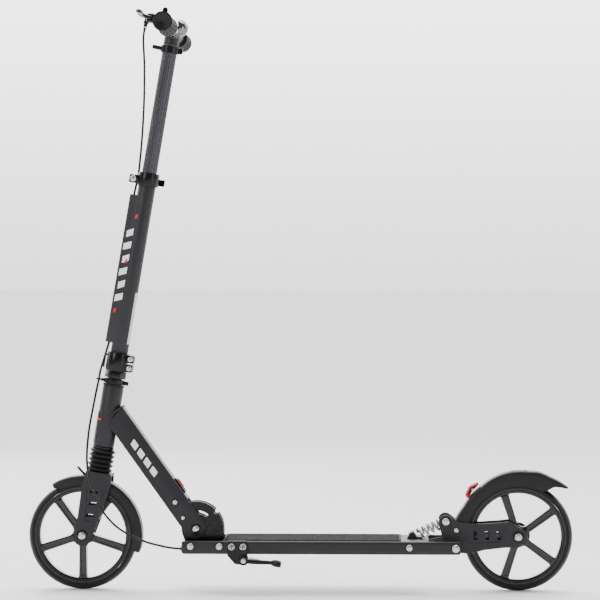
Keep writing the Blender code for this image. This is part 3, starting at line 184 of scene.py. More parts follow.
def finish(name, slot, colour, roughness, metallic=0.0, grain=1100, relief=0.00002, mottle=0.10,
           spread=0.05, stretch=(1.0, 1.0, 1.0), coat=0.0, wear_and_edge_highlight=None, painted_glints=0.0):
    """A procedural material: mottled colour, uneven gloss, a fine grain in relief, lighter edges that are
    worn paint and also a painted highlight, and optional painted glints.
    """
    material = bpy.data.materials.new(name)
    material.use_nodes = True
    material["slot"] = slot
    tree = material.node_tree
    nodes, links = tree.nodes, tree.links
    shader = nodes["Principled BSDF"]
    shader.inputs["Metallic"].default_value = metallic
    shader.inputs["Coat Weight"].default_value = coat
    shader.inputs["Coat Roughness"].default_value = 0.12
    shader.inputs["Specular IOR Level"].default_value = 0.30
    coords = nodes.new("ShaderNodeTexCoord")
    mapping = nodes.new("ShaderNodeMapping")
    mapping.inputs["Scale"].default_value = stretch
    links.new(coords.outputs["Object"], mapping.inputs["Vector"])

    def noise(scale, detail):
        node = nodes.new("ShaderNodeTexNoise")
        node.inputs["Scale"].default_value = scale
        node.inputs["Detail"].default_value = detail
        links.new(mapping.outputs["Vector"], node.inputs["Vector"])
        return node.outputs["Fac"]

    def blend(factor, first, second):
        node = nodes.new("ShaderNodeMix")
        node.data_type = "RGBA"
        links.new(factor, node.inputs["Factor"])
        for index, value in ((6, first), (7, second)):
            if isinstance(value, (list, tuple)):
                node.inputs[index].default_value = (*value, 1.0)
            else:
                links.new(value, node.inputs[index])
        return node.outputs[2]

    darker = [value * (1 - mottle) for value in colour]
    lighter = [min(1.0, value * (1 + mottle)) for value in colour]
    tint = blend(map_range(tree, noise(17.0, 4.0), 0.35, 0.65, 0.0, 1.0), darker, lighter)
    fine = noise(grain, 2.0)
    # Painted glints: lighter grains where the fine noise peaks, standing for the sparkle of the grit.
    if painted_glints:
        bright = [min(1.0, value * 4 + 0.03) for value in colour]
        tint = blend(map_range(tree, fine, 0.62, 0.70, 0.0, painted_glints), tint, bright)
    # Lighter colour on rounded edges, in noisy patches: worn paint, and also a painted highlight where
    # edges catch the light.
    if wear_and_edge_highlight:
        soft = nodes.new("ShaderNodeBevel")
        soft.samples = 4
        soft.inputs["Radius"].default_value = 0.0009
        shape = nodes.new("ShaderNodeNewGeometry")
        product = nodes.new("ShaderNodeVectorMath")
        product.operation = "DOT_PRODUCT"
        links.new(soft.outputs["Normal"], product.inputs[0])
        links.new(shape.outputs["Normal"], product.inputs[1])
        rubbed_and_lit_edges = map_range(tree, product.outputs["Value"], 0.985, 0.90, 0.0, 1.0)
        patches = map_range(tree, noise(120.0, 3.0), 0.50, 0.66, 0.0, 0.75)
        tint = blend(arithmetic(tree, "MULTIPLY", rubbed_and_lit_edges, patches), tint, wear_and_edge_highlight)
    links.new(tint, shader.inputs["Base Color"])
    uneven = map_range(tree, noise(95.0, 3.0), 0.3, 0.7, max(0.03, roughness - spread), roughness + spread)
    links.new(uneven, shader.inputs["Roughness"])
    bump = nodes.new("ShaderNodeBump")
    bump.inputs["Strength"].default_value = 0.8
    bump.inputs["Distance"].default_value = relief
    links.new(fine, bump.inputs["Height"])
    links.new(bump.outputs["Normal"], shader.inputs["Normal"])
    return material


# PAINT and BLACK get lighter edges that are both worn finish and a painted edge highlight.
PAINT = finish("powder_coat", "frame_paint", srgb(36, 34, 38), 0.48, grain=1500, relief=0.00005,
               mottle=0.07, wear_and_edge_highlight=srgb(70, 68, 72))
TUBE_BLACK = finish("anodised_post", "aluminium_tube", srgb(74, 72, 77), 0.34, 0.85, grain=900,
                    stretch=(1.0, 1.0, 0.04), mottle=0.08)
BLACK = finish("black_plated_steel", "black_metal", srgb(13, 13, 14), 0.25, 0.20, grain=1300,
               wear_and_edge_highlight=srgb(110, 108, 106))
MOULDED = finish("moulded_black", "black_plastic", srgb(22, 21, 24), 0.44, grain=1700, relief=0.00004,
                 mottle=0.08)
GLOSS = finish("gloss_black_casting", "black_plastic", srgb(8, 8, 9), 0.20, grain=420, relief=0.00001,
               mottle=0.12, spread=0.07, coat=0.35)
TYRE = finish("polyurethane", "tyre", srgb(11, 11, 12), 0.40, grain=700, relief=0.00003, mottle=0.15,
              spread=0.08)
RUBBER = finish("soft_rubber", "rubber", srgb(13, 13, 14), 0.58, grain=1900, relief=0.00006)
SLEEVE = finish("cable_sleeve", "cable_sleeve", srgb(15, 15, 16), 0.40, grain=800)
# The grip mat's lighter grains are painted glints of its grit.
GRIT = finish("grip_mat", "grip_surface", srgb(24, 23, 26), 0.80, grain=1500, relief=0.00025, mottle=0.14,
              painted_glints=0.5)
RED = finish("red_plastic", "red_plastic", srgb(206, 14, 20), 0.30, grain=900, mottle=0.06)
SILVER = finish("cast_lever", "silver_lever", srgb(66, 66, 70), 0.30, 0.9, grain=900, relief=0.00003,
                mottle=0.06)
CHROME = finish("bell_chrome", "bell_chrome", srgb(118, 118, 122), 0.12, 1.0, grain=200, relief=0.000005,
                mottle=0.03, spread=0.03)
ZINC = finish("zinc_plate", "zinc_steel", srgb(206, 203, 198), 0.26, 1.0, grain=600, relief=0.00001,
              mottle=0.08)
SPRING = finish("spring_wire", "spring_steel", srgb(196, 196, 200), 0.22, 1.0, grain=500, relief=0.00001,
                mottle=0.06)
PRINT = finish("white_print", "frame_paint", srgb(236, 236, 236), 0.45, grain=1500, mottle=0.02)
RED_PRINT = finish("red_print", "red_plastic", srgb(214, 16, 20), 0.45, grain=1500, mottle=0.03)
# Painted reflection: a pale colour for the rear face of the stem, where its glossy surface mirrors the
# bright backdrop.
PAINTED_REFLECTION = finish("painted_reflection_strip", "frame_paint", srgb(205, 205, 205), 0.40, grain=2200, relief=0.00003,
                    mottle=0.04)


# ---------------- shape tools
def rounded(points, radius, steps=4, closed=True):
    """The outline with its corners rounded."""
    result = []
    last = len(points) - 1
    for i, point in enumerate(points):
        if not closed and i in (0, last):
            result.append(tuple(point))
            continue
        here = Vector(point)
        before = Vector(points[i - 1]) - here
        after = Vector(points[(i + 1) % len(points)]) - here
        start = here + before.normalized() * min(radius, before.length * 0.45)
        end = here + after.normalized() * min(radius, after.length * 0.45)
        for k in range(steps + 1):
            t = k / steps
            result.append(tuple(start * (1 - t) ** 2 + here * (2 * t * (1 - t)) + end * t * t))
    return result


def arc(centre, radius, start, end, steps):
    """Points on a circle from one angle to another, both included, in degrees."""
    angles = [math.radians(start + (end - start) * i / steps) for i in range(steps + 1)]
    return [(centre[0] + radius * math.cos(a), centre[1] + radius * math.sin(a)) for a in angles]


def circle(centre, radius, steps=48):
    return arc(centre, radius, 0, 360 * (steps - 1) / steps, steps - 1)


def stadium(start, end, radius, steps=8):
    """The outline of a straight slot with round ends."""
    angle = math.degrees(math.atan2(end[1] - start[1], end[0] - start[0]))
    return (arc(end, radius, angle - 90, angle + 90, steps)
            + arc(start, radius, angle + 90, angle + 270, steps))


def table_at(table, key):
    """The result at a key, read between the rows of a table whose keys fall."""
    result = table[0][1]
    for (high, first), (low, second) in zip(table, table[1:]):
        if low <= key <= high:
            result = first + (second - first) * (high - key) / (high - low)
    return result


def coil(start, end, radius, turns, per_turn):
    """Points of a helix from one point to another."""
    place = aimed(start, end - start)
    count = int(turns * per_turn)
    rise = (end - start).length / count
    angles = [2 * math.pi * i / per_turn for i in range(count + 1)]
    return [place @ Vector((radius * math.cos(a), radius * math.sin(a), rise * i))
            for i, a in enumerate(angles)]


def ring_of(bm, radius, height, steps):
    """New vertices spread evenly round Z."""
    angles = [2 * math.pi * i / steps for i in range(steps)]
    return [bm.verts.new((radius * math.cos(a), radius * math.sin(a), height)) for a in angles]


def bridge(bm, first, second):
    """Faces between two loops of vertices with the same count."""
    for k in range(len(first)):
        m = (k + 1) % len(first)
        bm.faces.new((first[k], first[m], second[m], second[k]))


def lathe(profile, steps=64, ring=False):
    """A (radius, height) profile turned about Z. A ring's profile closes on itself."""
    bm = bmesh.new()
    rows = [[bm.verts.new((0.0, 0.0, height))] if radius < 1e-7 else ring_of(bm, radius, height, steps)
            for radius, height in profile]
    for upper, lower in list(zip(rows, rows[1:])) + ([(rows[-1], rows[0])] if ring else []):
        for i in range(steps):
            j = (i + 1) % steps
            corners = [upper[i % len(upper)], upper[j % len(upper)],
                       lower[j % len(lower)], lower[i % len(lower)]]
            corners = list(dict.fromkeys(corners))
            if len(corners) > 2:
                bm.faces.new(corners)
    return bm


def turned(points, edge, rounds, steps, ring=False):
    """A lathed shape with the corners of its profile rounded, except the two on its axis."""
    return lathe(rounded(points, edge, rounds, ring), steps, ring)


def pipe(outer, inner, low, high, edge, rounds, steps):
    """A tube about Z between two heights, with rounded rims."""
    section = [(outer, high), (outer, low), (inner, low), (inner, high)]
    return turned(section, edge, rounds, steps, ring=True)


def plug(radius, low, high, steps, edge=0.0):
    """A solid cylinder about Z between two heights."""
    profile = [(0.0, high), (radius, high), (radius, low), (0.0, low)]
    return turned(profile, edge, 2, steps) if edge else lathe(profile, steps)


def placed(bm, matrix):
    """The same bmesh, moved by the matrix."""
    bm.transform(matrix)
    return bm


def evaluated(maker):
    """The bmesh of an object as its modifiers or curve settings make it. The object is removed."""
    bpy.context.view_layer.update()
    mesh = bpy.data.meshes.new_from_object(maker.evaluated_get(bpy.context.evaluated_depsgraph_get()))
    bm = bmesh.new()
    bm.from_mesh(mesh)
    bpy.data.objects.remove(maker, do_unlink=True)
    bpy.data.meshes.remove(mesh)
    bmesh.ops.remove_doubles(bm, verts=bm.verts, dist=1e-6)
    return bm


def prism(outlines, low, high, edge=0.0, rounds=3):
    """A flat outline, with any others as holes, between two heights of Z, with rounded edges."""
    curve = bpy.data.curves.new("outline", "CURVE")
    curve.dimensions = "2D"
    curve.fill_mode = "BOTH"
    curve.extrude = (high - low) / 2
    for outline in outlines:
        spline = curve.splines.new("POLY")
        spline.points.add(len(outline) - 1)
        for point, (x, y) in zip(spline.points, outline):
            point.co = (x, y, 0.0, 1.0)
        spline.use_cyclic_u = True
    maker = bpy.data.objects.new("outline", curve)
    bpy.context.scene.collection.objects.link(maker)
    bm = evaluated(maker)
    bmesh.ops.translate(bm, vec=(0.0, 0.0, (low + high) / 2), verts=bm.verts)
    if edge:
        bmesh.ops.recalc_face_normals(bm, faces=bm.faces)
        bmesh.ops.dissolve_limit(bm, angle_limit=math.radians(0.5), verts=bm.verts, edges=bm.edges)
        rims = [e for e in bm.edges if len(e.link_faces) == 2 and e.calc_face_angle() > math.radians(60)
                and abs(e.verts[0].co.z - e.verts[1].co.z) < 1e-7]
        bmesh.ops.bevel(bm, geom=rims, offset=edge, segments=rounds, affect="EDGES", profile=0.5,
                        clamp_overlap=True)
    return bm


def side_plate(outlines, y_low, y_high, edge=0.0, rounds=2):
    """A flat outline in X and Z between two Y planes."""
    return placed(prism(outlines, -y_high, -y_low, edge, rounds), UPRIGHT)


def sweep(points, radius, sides=14, closed=False):
    """A round bar along the points. The radius is one number, or one for each point."""
    path = [Vector(point) for point in points]
    radii = radius if isinstance(radius, list) else [radius] * len(path)
    bm = bmesh.new()
    rings = []
    normal = None
    for i, here in enumerate(path):
        if closed:
            ahead = path[(i + 1) % len(path)] - path[i - 1]
        else:
            ahead = path[min(i + 1, len(path) - 1)] - path[max(i - 1, 0)]
        ahead.normalize()
        if normal is None:
            normal = ahead.orthogonal()
        normal = (normal - ahead * normal.dot(ahead)).normalized()
        side = ahead.cross(normal)
        rings.append([bm.verts.new(here + (normal * math.cos(a) + side * math.sin(a)) * radii[i])
                      for a in (2 * math.pi * k / sides for k in range(sides))])
    for first, second in zip(rings, rings[1:]):
        bridge(bm, first, second)
    if closed:
        bridge(bm, rings[-1], rings[0])
    else:
        bm.faces.new(rings[0])
        bm.faces.new(rings[-1])
    return bm


def smooth_route(points, per_span):
    """Points on a Catmull-Rom curve through the given points."""
    known = [Vector(point) for point in points]
    known = [2 * known[0] - known[1]] + known + [2 * known[-1] - known[-2]]
    route = []
    for a, b, c, d in zip(known, known[1:], known[2:], known[3:]):
        for i in range(per_span):
            t = i / per_span
            bend = 2 * a - 5 * b + 4 * c - d
            twist = 3 * b - a - 3 * c + d
            route.append(0.5 * (2 * b + (c - a) * t + bend * t * t + twist * t ** 3))
    route.append(known[-2])
    return route


def merged(*parts):
    """Several bmeshes as one."""
    whole = bmesh.new()
    for part in parts:
        mesh = bpy.data.meshes.new("part")
        part.to_mesh(mesh)
        part.free()
        whole.from_mesh(mesh)
        bpy.data.meshes.remove(mesh)
    return whole


def holder(bm):
    """A temporary object that holds the bmesh."""
    bmesh.ops.recalc_face_normals(bm, faces=bm.faces)
    mesh = bpy.data.meshes.new("work")
    bm.to_mesh(mesh)
    bm.free()
    made = bpy.data.objects.new("work", mesh)
    bpy.context.scene.collection.objects.link(made)
    return made


def carved(bm, *cutters):
    """The bmesh with the cutters taken out of it."""
    base = holder(bm)
    tools = [holder(cutter) for cutter in cutters]
    for tool in tools:
        modifier = base.modifiers.new("cut", "BOOLEAN")
        modifier.operation = "DIFFERENCE"
        modifier.object = tool
    result = evaluated(base)
    for tool in tools:
        bpy.data.objects.remove(tool, do_unlink=True)
    return result


def box(low, high, edge=0.0, segments=2):
    bm = bmesh.new()
    bmesh.ops.create_cube(bm, size=1.0)
    low, high = Vector(low), Vector(high)
    bmesh.ops.scale(bm, vec=high - low, verts=bm.verts)
    bmesh.ops.translate(bm, vec=(high + low) / 2, verts=bm.verts)
    if edge:
        bmesh.ops.bevel(bm, geom=bm.edges, offset=edge, segments=segments, affect="EDGES", profile=0.5)
    return bm


def make(name, bm, material, place=None, sharp=38):
    """The bmesh as an object with smooth shading, which is not yet on a body."""
    if place is not None:
        bm.transform(place)
    bmesh.ops.recalc_face_normals(bm, faces=bm.faces)
    mesh = bpy.data.meshes.new(name)
    bm.to_mesh(mesh)
    bm.free()
    mesh.shade_smooth()
    mesh.set_sharp_from_angle(angle=math.radians(sharp))
    mesh.materials.append(material)
    piece = bpy.data.objects.new(name, mesh)
    bpy.context.scene.collection.objects.link(piece)
    return piece


def put(name, bm, material, body, place=None, stands_for=(), sharp=38):
    """A new piece on a body, in place of the named CAD nodes."""
    piece = make(name, bm, material, place, sharp)
    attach(piece, body)
    if stands_for:
        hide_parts(*([stands_for] if isinstance(stands_for, str) else stands_for))
    return piece


def carry(node, material, edge=0.0006, segments=2, angle=32):
    """Keeps a CAD node, with its edges rounded and a better material."""
    part = frame["nodes"][node]
    part.data.materials.clear()
    part.data.materials.append(material)
    if "custom_normal" in part.data.attributes:
        part.data.attributes.remove(part.data.attributes["custom_normal"])
    part.data.shade_smooth()
    weld = part.modifiers.new("weld", "WELD")
    weld.merge_threshold = 1e-6
    flat = part.modifiers.new("flat", "DECIMATE")
    flat.decimate_type = "DISSOLVE"
    flat.angle_limit = math.radians(1.0)
    bevel = part.modifiers.new("edges", "BEVEL")
    bevel.width = edge
    bevel.segments = segments
    bevel.limit_method = "ANGLE"
    bevel.angle_limit = math.radians(angle)
    bevel.harden_normals = True
    bevel.use_clamp_overlap = True
    return part


# ---------------- fasteners
def screw_head(radius, height, drive="cross"):
    """A pan head on the XY plane with a cross or a hexagon socket."""
    head = lathe([(0.0, height), (0.45 * radius, height * 0.98), (0.76 * radius, height * 0.88),
                  (0.93 * radius, height * 0.62), (radius, height * 0.25), (radius, 0.0), (0.0, 0.0)], 40)
    top = height * 1.5
    if drive == "hex":
        return carved(head, prism([circle((0, 0), radius * 0.46, 6)], height * 0.35, top))
    arm, thick, floor = radius * 0.62, radius * 0.13, height * 0.42
    return carved(head, *[box((-x, -y, floor), (x, y, top)) for x, y in ((arm, thick), (thick, arm))])


def cross_bolt(node, body, head_h, drive="cross", washer=True, share=1.0):
    """The CAD's bolt along Y, as a shank with a finished head and washer at each end."""
    low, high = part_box(node)
    x, z, radius = (low.x + high.x) / 2, (low.z + high.z) / 2, (high.z - low.z) / 2
    seat, thick = high.y - head_h, 0.0009
    head = screw_head(radius * share, head_h, drive)
    heads = [placed(head.copy(), across(x, z, side * seat, side)) for side in (1, -1)]
    head.free()
    shank = placed(plug(radius * 0.4, -seat, seat, 20), across(x, z))
    put(f"{node}_finished", merged(*heads, shank), ZINC, body, stands_for=node)
    if washer:
        outer, inner = radius * 1.12, radius * share * 0.8
        rings = [placed(pipe(outer, inner, 0.0, thick, 0.0003, 2, 40), across(x, z, y))
                 for y in (-seat - thick, seat)]
        put(f"{node}_washers", merged(*rings), BLACK, body)


def face_screw(name, body, x, z, y, radius, head_h, drive="cross", side=-1):
    """One screw head that sits on a face across Y."""
    put(name, screw_head(radius, head_h, drive), ZINC, body, across(x, z, y, side))


# ---------------- camera
def build_camera():
    data = bpy.data.cameras.new("camera")
    data.lens = LENS
    data.sensor_width = 36.0
    camera = bpy.data.objects.new("camera", data)
    camera.location = EYE
    camera.rotation_euler = (LOOK_AT - EYE).to_track_quat("-Z", "Y").to_euler()
    bpy.context.scene.collection.objects.link(camera)
    bpy.context.scene.camera = camera


# ---------------- brake cable, held all the way
def cable(name, points, per_span, node, start):
    """One stretch of the brake cable, swept along a smooth route in place of its CAD node."""
    piece = make(name, sweep(smooth_route(points, per_span), CABLE_R, 16), SLEEVE)
    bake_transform(piece)
    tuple(start)
    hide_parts(node)


def build_brake_cable():
    upper = [
        on_stem(-0.0443, -0.0817, BAR_T - 0.0055), (-0.2819, -0.0700, 1.0050), (-0.2822, -0.0480, 0.9600),
        (-0.2850, -0.0260, 0.8950), (-0.2900, -0.0100, 0.8330),
        on_stem(CHANNEL_X + 0.0012, -0.0012, 0.7900), on_stem(CHANNEL_X + 0.0019, 0, 0.7650),
        on_stem(CHANNEL_X + 0.0008, 0, 0.7450), on_stem(CHANNEL_X, 0, 0.7300),
    ]
    cable("cable_upper", upper, 8, "brake_cable_upper",
          on_stem(0, 0, 0.770))
    stem = [on_stem(CHANNEL_X, 0, 0.7296 - 0.0444 * i) for i in range(6)] + [
        on_stem(CHANNEL_X, 0, 0.4700), on_stem(CHANNEL_X - 0.0006, -0.0004, 0.4560),
        on_stem(CHANNEL_X - 0.0045, -0.0020, 0.4250), on_stem(CHANNEL_X - 0.0070, GUIDE_EYE_Y, 0.4030),
        on_stem(GUIDE_EYE_X, GUIDE_EYE_Y, 0.3890),
    ]
    cable("cable_stem", stem, 6, "brake_cable_stem",
          on_stem(0, 0, 0.392))
    # The bow to the left leaves room for the front wheel at full lock.
    lower = [
        on_stem(GUIDE_EYE_X, GUIDE_EYE_Y, 0.3886), on_stem(GUIDE_EYE_X - 0.0008, -0.0060, 0.3700),
        (-0.3800, -0.0140, 0.3380), (-0.3868, -0.0260, 0.2945), (-0.3890, -0.0400, 0.2520),
        (-0.3850, -0.0580, 0.2200), (-0.3730, -0.0760, 0.1855), (-0.3540, -0.0920, 0.1510),
        (-0.3250, -0.0880, 0.1195), (-0.2840, -0.0660, 0.0955), (-0.2500, -0.0460, 0.0835),
        (-0.2300, -0.0390, 0.0792), (-0.2160, CABLE_DECK_Y, 0.0784),
    ]
    cable("cable_neck", lower, 8, "brake_cable_neck", lower[-1])
    rear = [(-0.2156, CABLE_DECK_Y, 0.0784)]
    rear += [(x, CABLE_DECK_Y, CABLE_DECK_Z) for x in (-0.2000, -0.1700, -0.1400)]
    rear += [
        (-0.1100, -0.0370, 0.0785), (-0.0500, -0.0250, 0.0810), (0.1000, 0.0200, 0.0825),
        (0.2100, 0.0380, 0.0830), (0.2650, 0.0400, 0.0920), (0.3100, 0.0360, 0.0990),
        (0.3500, 0.0318, 0.1050), (0.3743, 0.0310, 0.1062),
    ]
    cable("cable_rear", rear, 6, "brake_cable_rear",
          (0.235, 0, 0.085))
    tip_r, tip = 0.0033, -0.0105
    profile = rounded([(tip_r, 0.0), (tip_r, tip + 0.0015), (0.0024, tip), (0.0, tip)], 0.0006, 2, False)
    put("cable_ferrule", lathe(profile + [(0.0, 0.0)], 24), ZINC, "handlebar",
        aimed(on_stem(-0.0441, -0.0819, BAR_T), Vector(upper[0]) - Vector(upper[1])))
    grommet = [(0.0046, 0.0010), (0.0046, -0.0018), (0.0023, -0.0030), (0.0023, 0.0010)]
    put("cable_grommet", turned(grommet, 0.0006, 2, 28, ring=True), RUBBER, "deck",
        leaning((-0.2150, CABLE_DECK_Y, 0.0784), 90))


# ---------------- wheels
def tyre_section():
    """Round crown with a fine groove on each side wall."""
    half, drop, low = TYRE_HALF_W, 0.0062, 0.0883
    shares = [1 - 2 * i / 28 for i in range(29)]
    crown = [(WHEEL_R - drop * abs(s) ** 3.0, half * s) for s in shares]
    groove = half - 0.0005
    wall = [(0.0921, half), (0.0918, groove), (0.0912, groove), (0.0909, half), (0.0890, half)]
    return crown + [(r, -y) for r, y in wall] + [(low, -half + 0.0006), (low, half - 0.0006)] + wall[::-1]


def band_section():
    """The rim band, with an outer lip, a groove, and a rounded inner ring."""
    side = [(0.0880, 0.0129), (0.0852, 0.0129), (0.0846, 0.0121), (0.0842, 0.0108), (0.0834, 0.0108),
            (0.0828, 0.0117), (0.0812, 0.0117), (0.0798, 0.0108), (0.0791, 0.0090), (0.0790, 0.0050)]
    return side + [(r, -y) for r, y in reversed(side)]


def spoke_direction(first_spoke, k):
    """The direction of a wheel's k-th spoke from its hub, in the wheel's plane."""
    angle = math.radians(first_spoke + 360 / SPOKES * k)
    return Vector((math.cos(angle), math.sin(angle)))


def spoke_windows(first_spoke):
    """The openings between spokes that widen a little towards the rim, with round corners."""
    hub_r, rim_r, hub_w, rim_w = 0.0190, 0.0800, 0.0064, 0.0074
    windows = []
    for k in range(SPOKES):
        corners = []
        for spoke, side in ((k, 1), (k + 1, -1)):
            out = spoke_direction(first_spoke, spoke)
            left = Vector((-out.y, out.x)) * side
            ends = [out * hub_r + left * hub_w, out * math.sqrt(rim_r ** 2 - rim_w ** 2) + left * rim_w]
            corners += ends[::side]
        start, end = (math.degrees(math.atan2(corner.y, corner.x)) for corner in corners[1:3])
        end += 360 if end < start else 0
        rim_arc = arc((0, 0), rim_r, start, end, 10)
        outline = [*map(tuple, corners[:2]), *rim_arc[1:-1], *map(tuple, corners[2:])]
        windows.append(rounded(outline, 0.0055, 5))
    return windows


def wheel_casting(first_spoke):
    """The spoked disc, with a channel along both faces of each spoke."""
    half_w, channel_y, beyond = 0.0102, 0.0062, 0.02
    disc = prism([circle((0, 0), 0.0818, 160), *spoke_windows(first_spoke)], -half_w, half_w, 0.0020, 3)
    channels = []
    for k in range(SPOKES):
        out = spoke_direction(first_spoke, k)
        outline = stadium(out * 0.0265, out * 0.0725, 0.0038)
        channels += [prism([outline], *span) for span in ((channel_y, beyond), (-beyond, -channel_y))]
    return carved(disc, merged(*channels))


def build_wheel(prefix, body, centre, first_spoke):
    place = across(centre.x, centre.z)
    put(f"{prefix}_tyre_moulded", lathe(tyre_section(), 160, ring=True), TYRE, body, place,
        f"{prefix}_tyre")
    half_w, hub_r, seat_r, bore_r, stop = 0.0150, 0.0175, 0.0118, 0.0076, 0.0076
    outside = [(seat_r, half_w), (hub_r - 0.0017, half_w), (hub_r, half_w - 0.0022)]
    inside = [(seat_r, -stop), (bore_r, -stop), (bore_r, stop), (seat_r, stop)]
    hub = turned(outside + [(r, -y) for r, y in reversed(outside)] + inside, 0.0010, 3, 72, ring=True)
    band = lathe(band_section(), 160, ring=True)
    put(f"{prefix}_wheel_casting", merged(wheel_casting(-first_spoke), band, hub), GLOSS, body, place,
        f"{prefix}_rim")
    outer, inner, width = 0.0113, 0.0045, 0.0068
    section = [(outer, width), (0.0097, width), (0.0095, width - 0.0006), (0.0068, width - 0.0006),
               (0.0066, width), (inner, width), (inner, 0.0), (outer, 0.0)]
    for name, side in (("left", -1), ("right", 1)):
        seat = across(centre.x, centre.z, side=side) @ Matrix.Translation((0, 0, TYRE_HALF_W - width))
        put(f"{prefix}_bearing_{name}_shielded", lathe(section, 56, ring=True), ZINC, body, seat,
            f"{prefix}_bearing_{name}")


# ---------------- mudguards
def mudguard(stations, centre, half_w, wall=0.0024, inner_r=0.107, shoulder=0.0065):
    """A curved shell over a wheel. Each station gives an angle, the crown's radius and the skirt's."""
    bm = bmesh.new()
    rings = []
    chamfer, camber = 0.0016, 0.0004
    for angle, crown, skirt in stations:
        inside = max(skirt + 0.0004, min(inner_r, crown - wall))
        round_r = min(shoulder, max(0.0006, (crown - skirt) * 0.8))
        corner = inside - chamfer / 2 if inside - chamfer / 2 >= skirt else inside
        outer = [(-half_w, skirt)] + arc((-half_w + round_r, crown - round_r), round_r, 180, 90, 6)
        outer += [(half_w * share, crown + camber * (1 - share * share)) for share in (-0.35, 0.0, 0.35)]
        outer += [(-y, r) for y, r in reversed(outer[:8])]
        inner = [(half_w - wall, skirt), (half_w - wall, corner), (half_w - wall - chamfer, inside)]
        inner += [(-y, r) for y, r in reversed(inner)]
        out = Vector((math.cos(math.radians(angle)), 0.0, math.sin(math.radians(angle))))
        rings.append([bm.verts.new(Vector((centre.x, y, centre.z)) + out * r) for y, r in outer + inner])
    for first, second in zip(rings, rings[1:]):
        bridge(bm, first, second)
    bm.faces.new(rings[0])
    bm.faces.new(rings[-1])
    return bm


def between(points, count):
    """Rows of numbers spread evenly through the given rows, which start with a steadily changing value."""
    rows = []
    first, last = points[0][0], points[-1][0]
    for i in range(count + 1):
        value = first + (last - first) * i / count
        for low, high in zip(points, points[1:]):
            if min(low[0], high[0]) - 1e-9 <= value <= max(low[0], high[0]) + 1e-9:
                share = (value - low[0]) / (high[0] - low[0])
                rows.append([a + (b - a) * share for a, b in zip(low, high)])
                break
    return rows


def build_front_mudguard():
    ends = [(-17, 0.1085, 0.0945), (-12, 0.110, 0.0935), (114, 0.110, 0.0935), (121, 0.1092, 0.1010)]
    put("front_mudguard_shell", mudguard(between(ends, 96), FRONT, MUDGUARD_HALF_W), MOULDED, "fork",
        stands_for="front_mudguard", sharp=30)
    hook = [(-0.3960, -0.0080, 0.2085), (-0.4010, -0.0080, 0.2145), (-0.4065, -0.0075, 0.2205),
            (-0.4100, -0.0050, 0.2245), (-0.4108, 0.0, 0.2255)]
    hook += [(x, -y, z) for x, y, z in reversed(hook[:-1])]
    put("fork_wire_hook", sweep(smooth_route(hook, 5), 0.0013, 10), BLACK, "fork")


def polar(point):
    """The angle in degrees and the radius of an X and Z point about the rear axle."""
    x, z = point[0] - REAR.x, point[1] - REAR.z
    return math.degrees(math.atan2(z, x)), math.hypot(x, z)


def build_rear_mudguard():
    """The foot brake: a shell with an upswept tail, and a ribbed pad for the foot on top."""
    crown = [(0.2810, 0.1080), (0.2835, 0.1270), (0.3000, 0.1545), (0.3330, 0.1920), (0.3500, 0.2050),
             (0.3690, 0.2140), (0.3850, 0.2185), (0.4180, 0.2195), (0.4380, 0.2185), (0.4600, 0.2090),
             (0.4915, 0.1905)]
    tail_start = 62
    skirt = [(167, 0.0925), (tail_start, 0.0925), (58, 0.0990), (54, 0.1130), (44.0, 0.1260)]
    rows = [[angle, radius, table_at(skirt, angle)] for angle, radius in map(polar, crown)]
    rows[0][2] = 0.1165
    rows = between(rows, 90)
    for row in rows:
        if row[0] < tail_start:
            row[2] = table_at(skirt, row[0])
    put("rear_mudguard_shell", mudguard(rows, REAR, MUDGUARD_HALF_W), MOULDED, "rear_mudguard",
        stands_for="rear_mudguard", sharp=30)
    slope = leaning((0.3995, 0.0, 0.2192), -1.7)
    pad = [(-0.0120, -0.0130), (0.0185, -0.0130), (0.0185, 0.0130), (-0.0120, 0.0130)]
    put("brake_pad_plate", prism([rounded(pad, 0.004, 5)], -0.0010, 0.0008, 0.0004, 2), MOULDED,
        "rear_mudguard", slope)
    ribs = [box((x, -0.0105, 0.0006), (x + 0.0022, 0.0105, 0.0014), 0.0003, 1)
            for x in (-0.0095 + 0.0055 * i for i in range(5))]
    put("brake_pad_ribs", merged(*ribs), RUBBER, "rear_mudguard", slope)


def build_mudguard_catch():
    """The hook that holds the folded stem: a red-edged loop with a bright pin inside it."""
    low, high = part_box("mudguard_catch")
    outline = [(0.3035, 0.1745), (0.3110, 0.1905), (0.3270, 0.1985), (0.3285, 0.1945), (0.3165, 0.1830),
               (0.3085, 0.1690)]
    middle = Vector([sum(values) / len(outline) for values in zip(*outline)])

    def shrunk(share):
        return rounded([tuple(middle + (Vector(p) - middle) * share) for p in outline], 0.0016)

    cheek, gap = 0.0030, 0.0004
    loops = [rounded(outline, 0.0020), shrunk(0.62)]
    cheeks = [side_plate(loops, *sorted((side * high.y, side * (high.y - cheek))), 0.0004)
              for side in (-1, 1)]
    put("mudguard_catch_loop", merged(*cheeks), RED, "rear_mudguard", stands_for="mudguard_catch")
    core = side_plate([shrunk(0.90)], low.y + cheek + gap, high.y - cheek - gap, 0.0004)
    put("mudguard_catch_core", core, BLACK, "rear_mudguard")
    put("mudguard_catch_pin", plug(0.0020, -0.0112, 0.0112, 20, 0.0005), ZINC, "rear_mudguard",
        across(middle.x + 0.001, middle.y + 0.001))


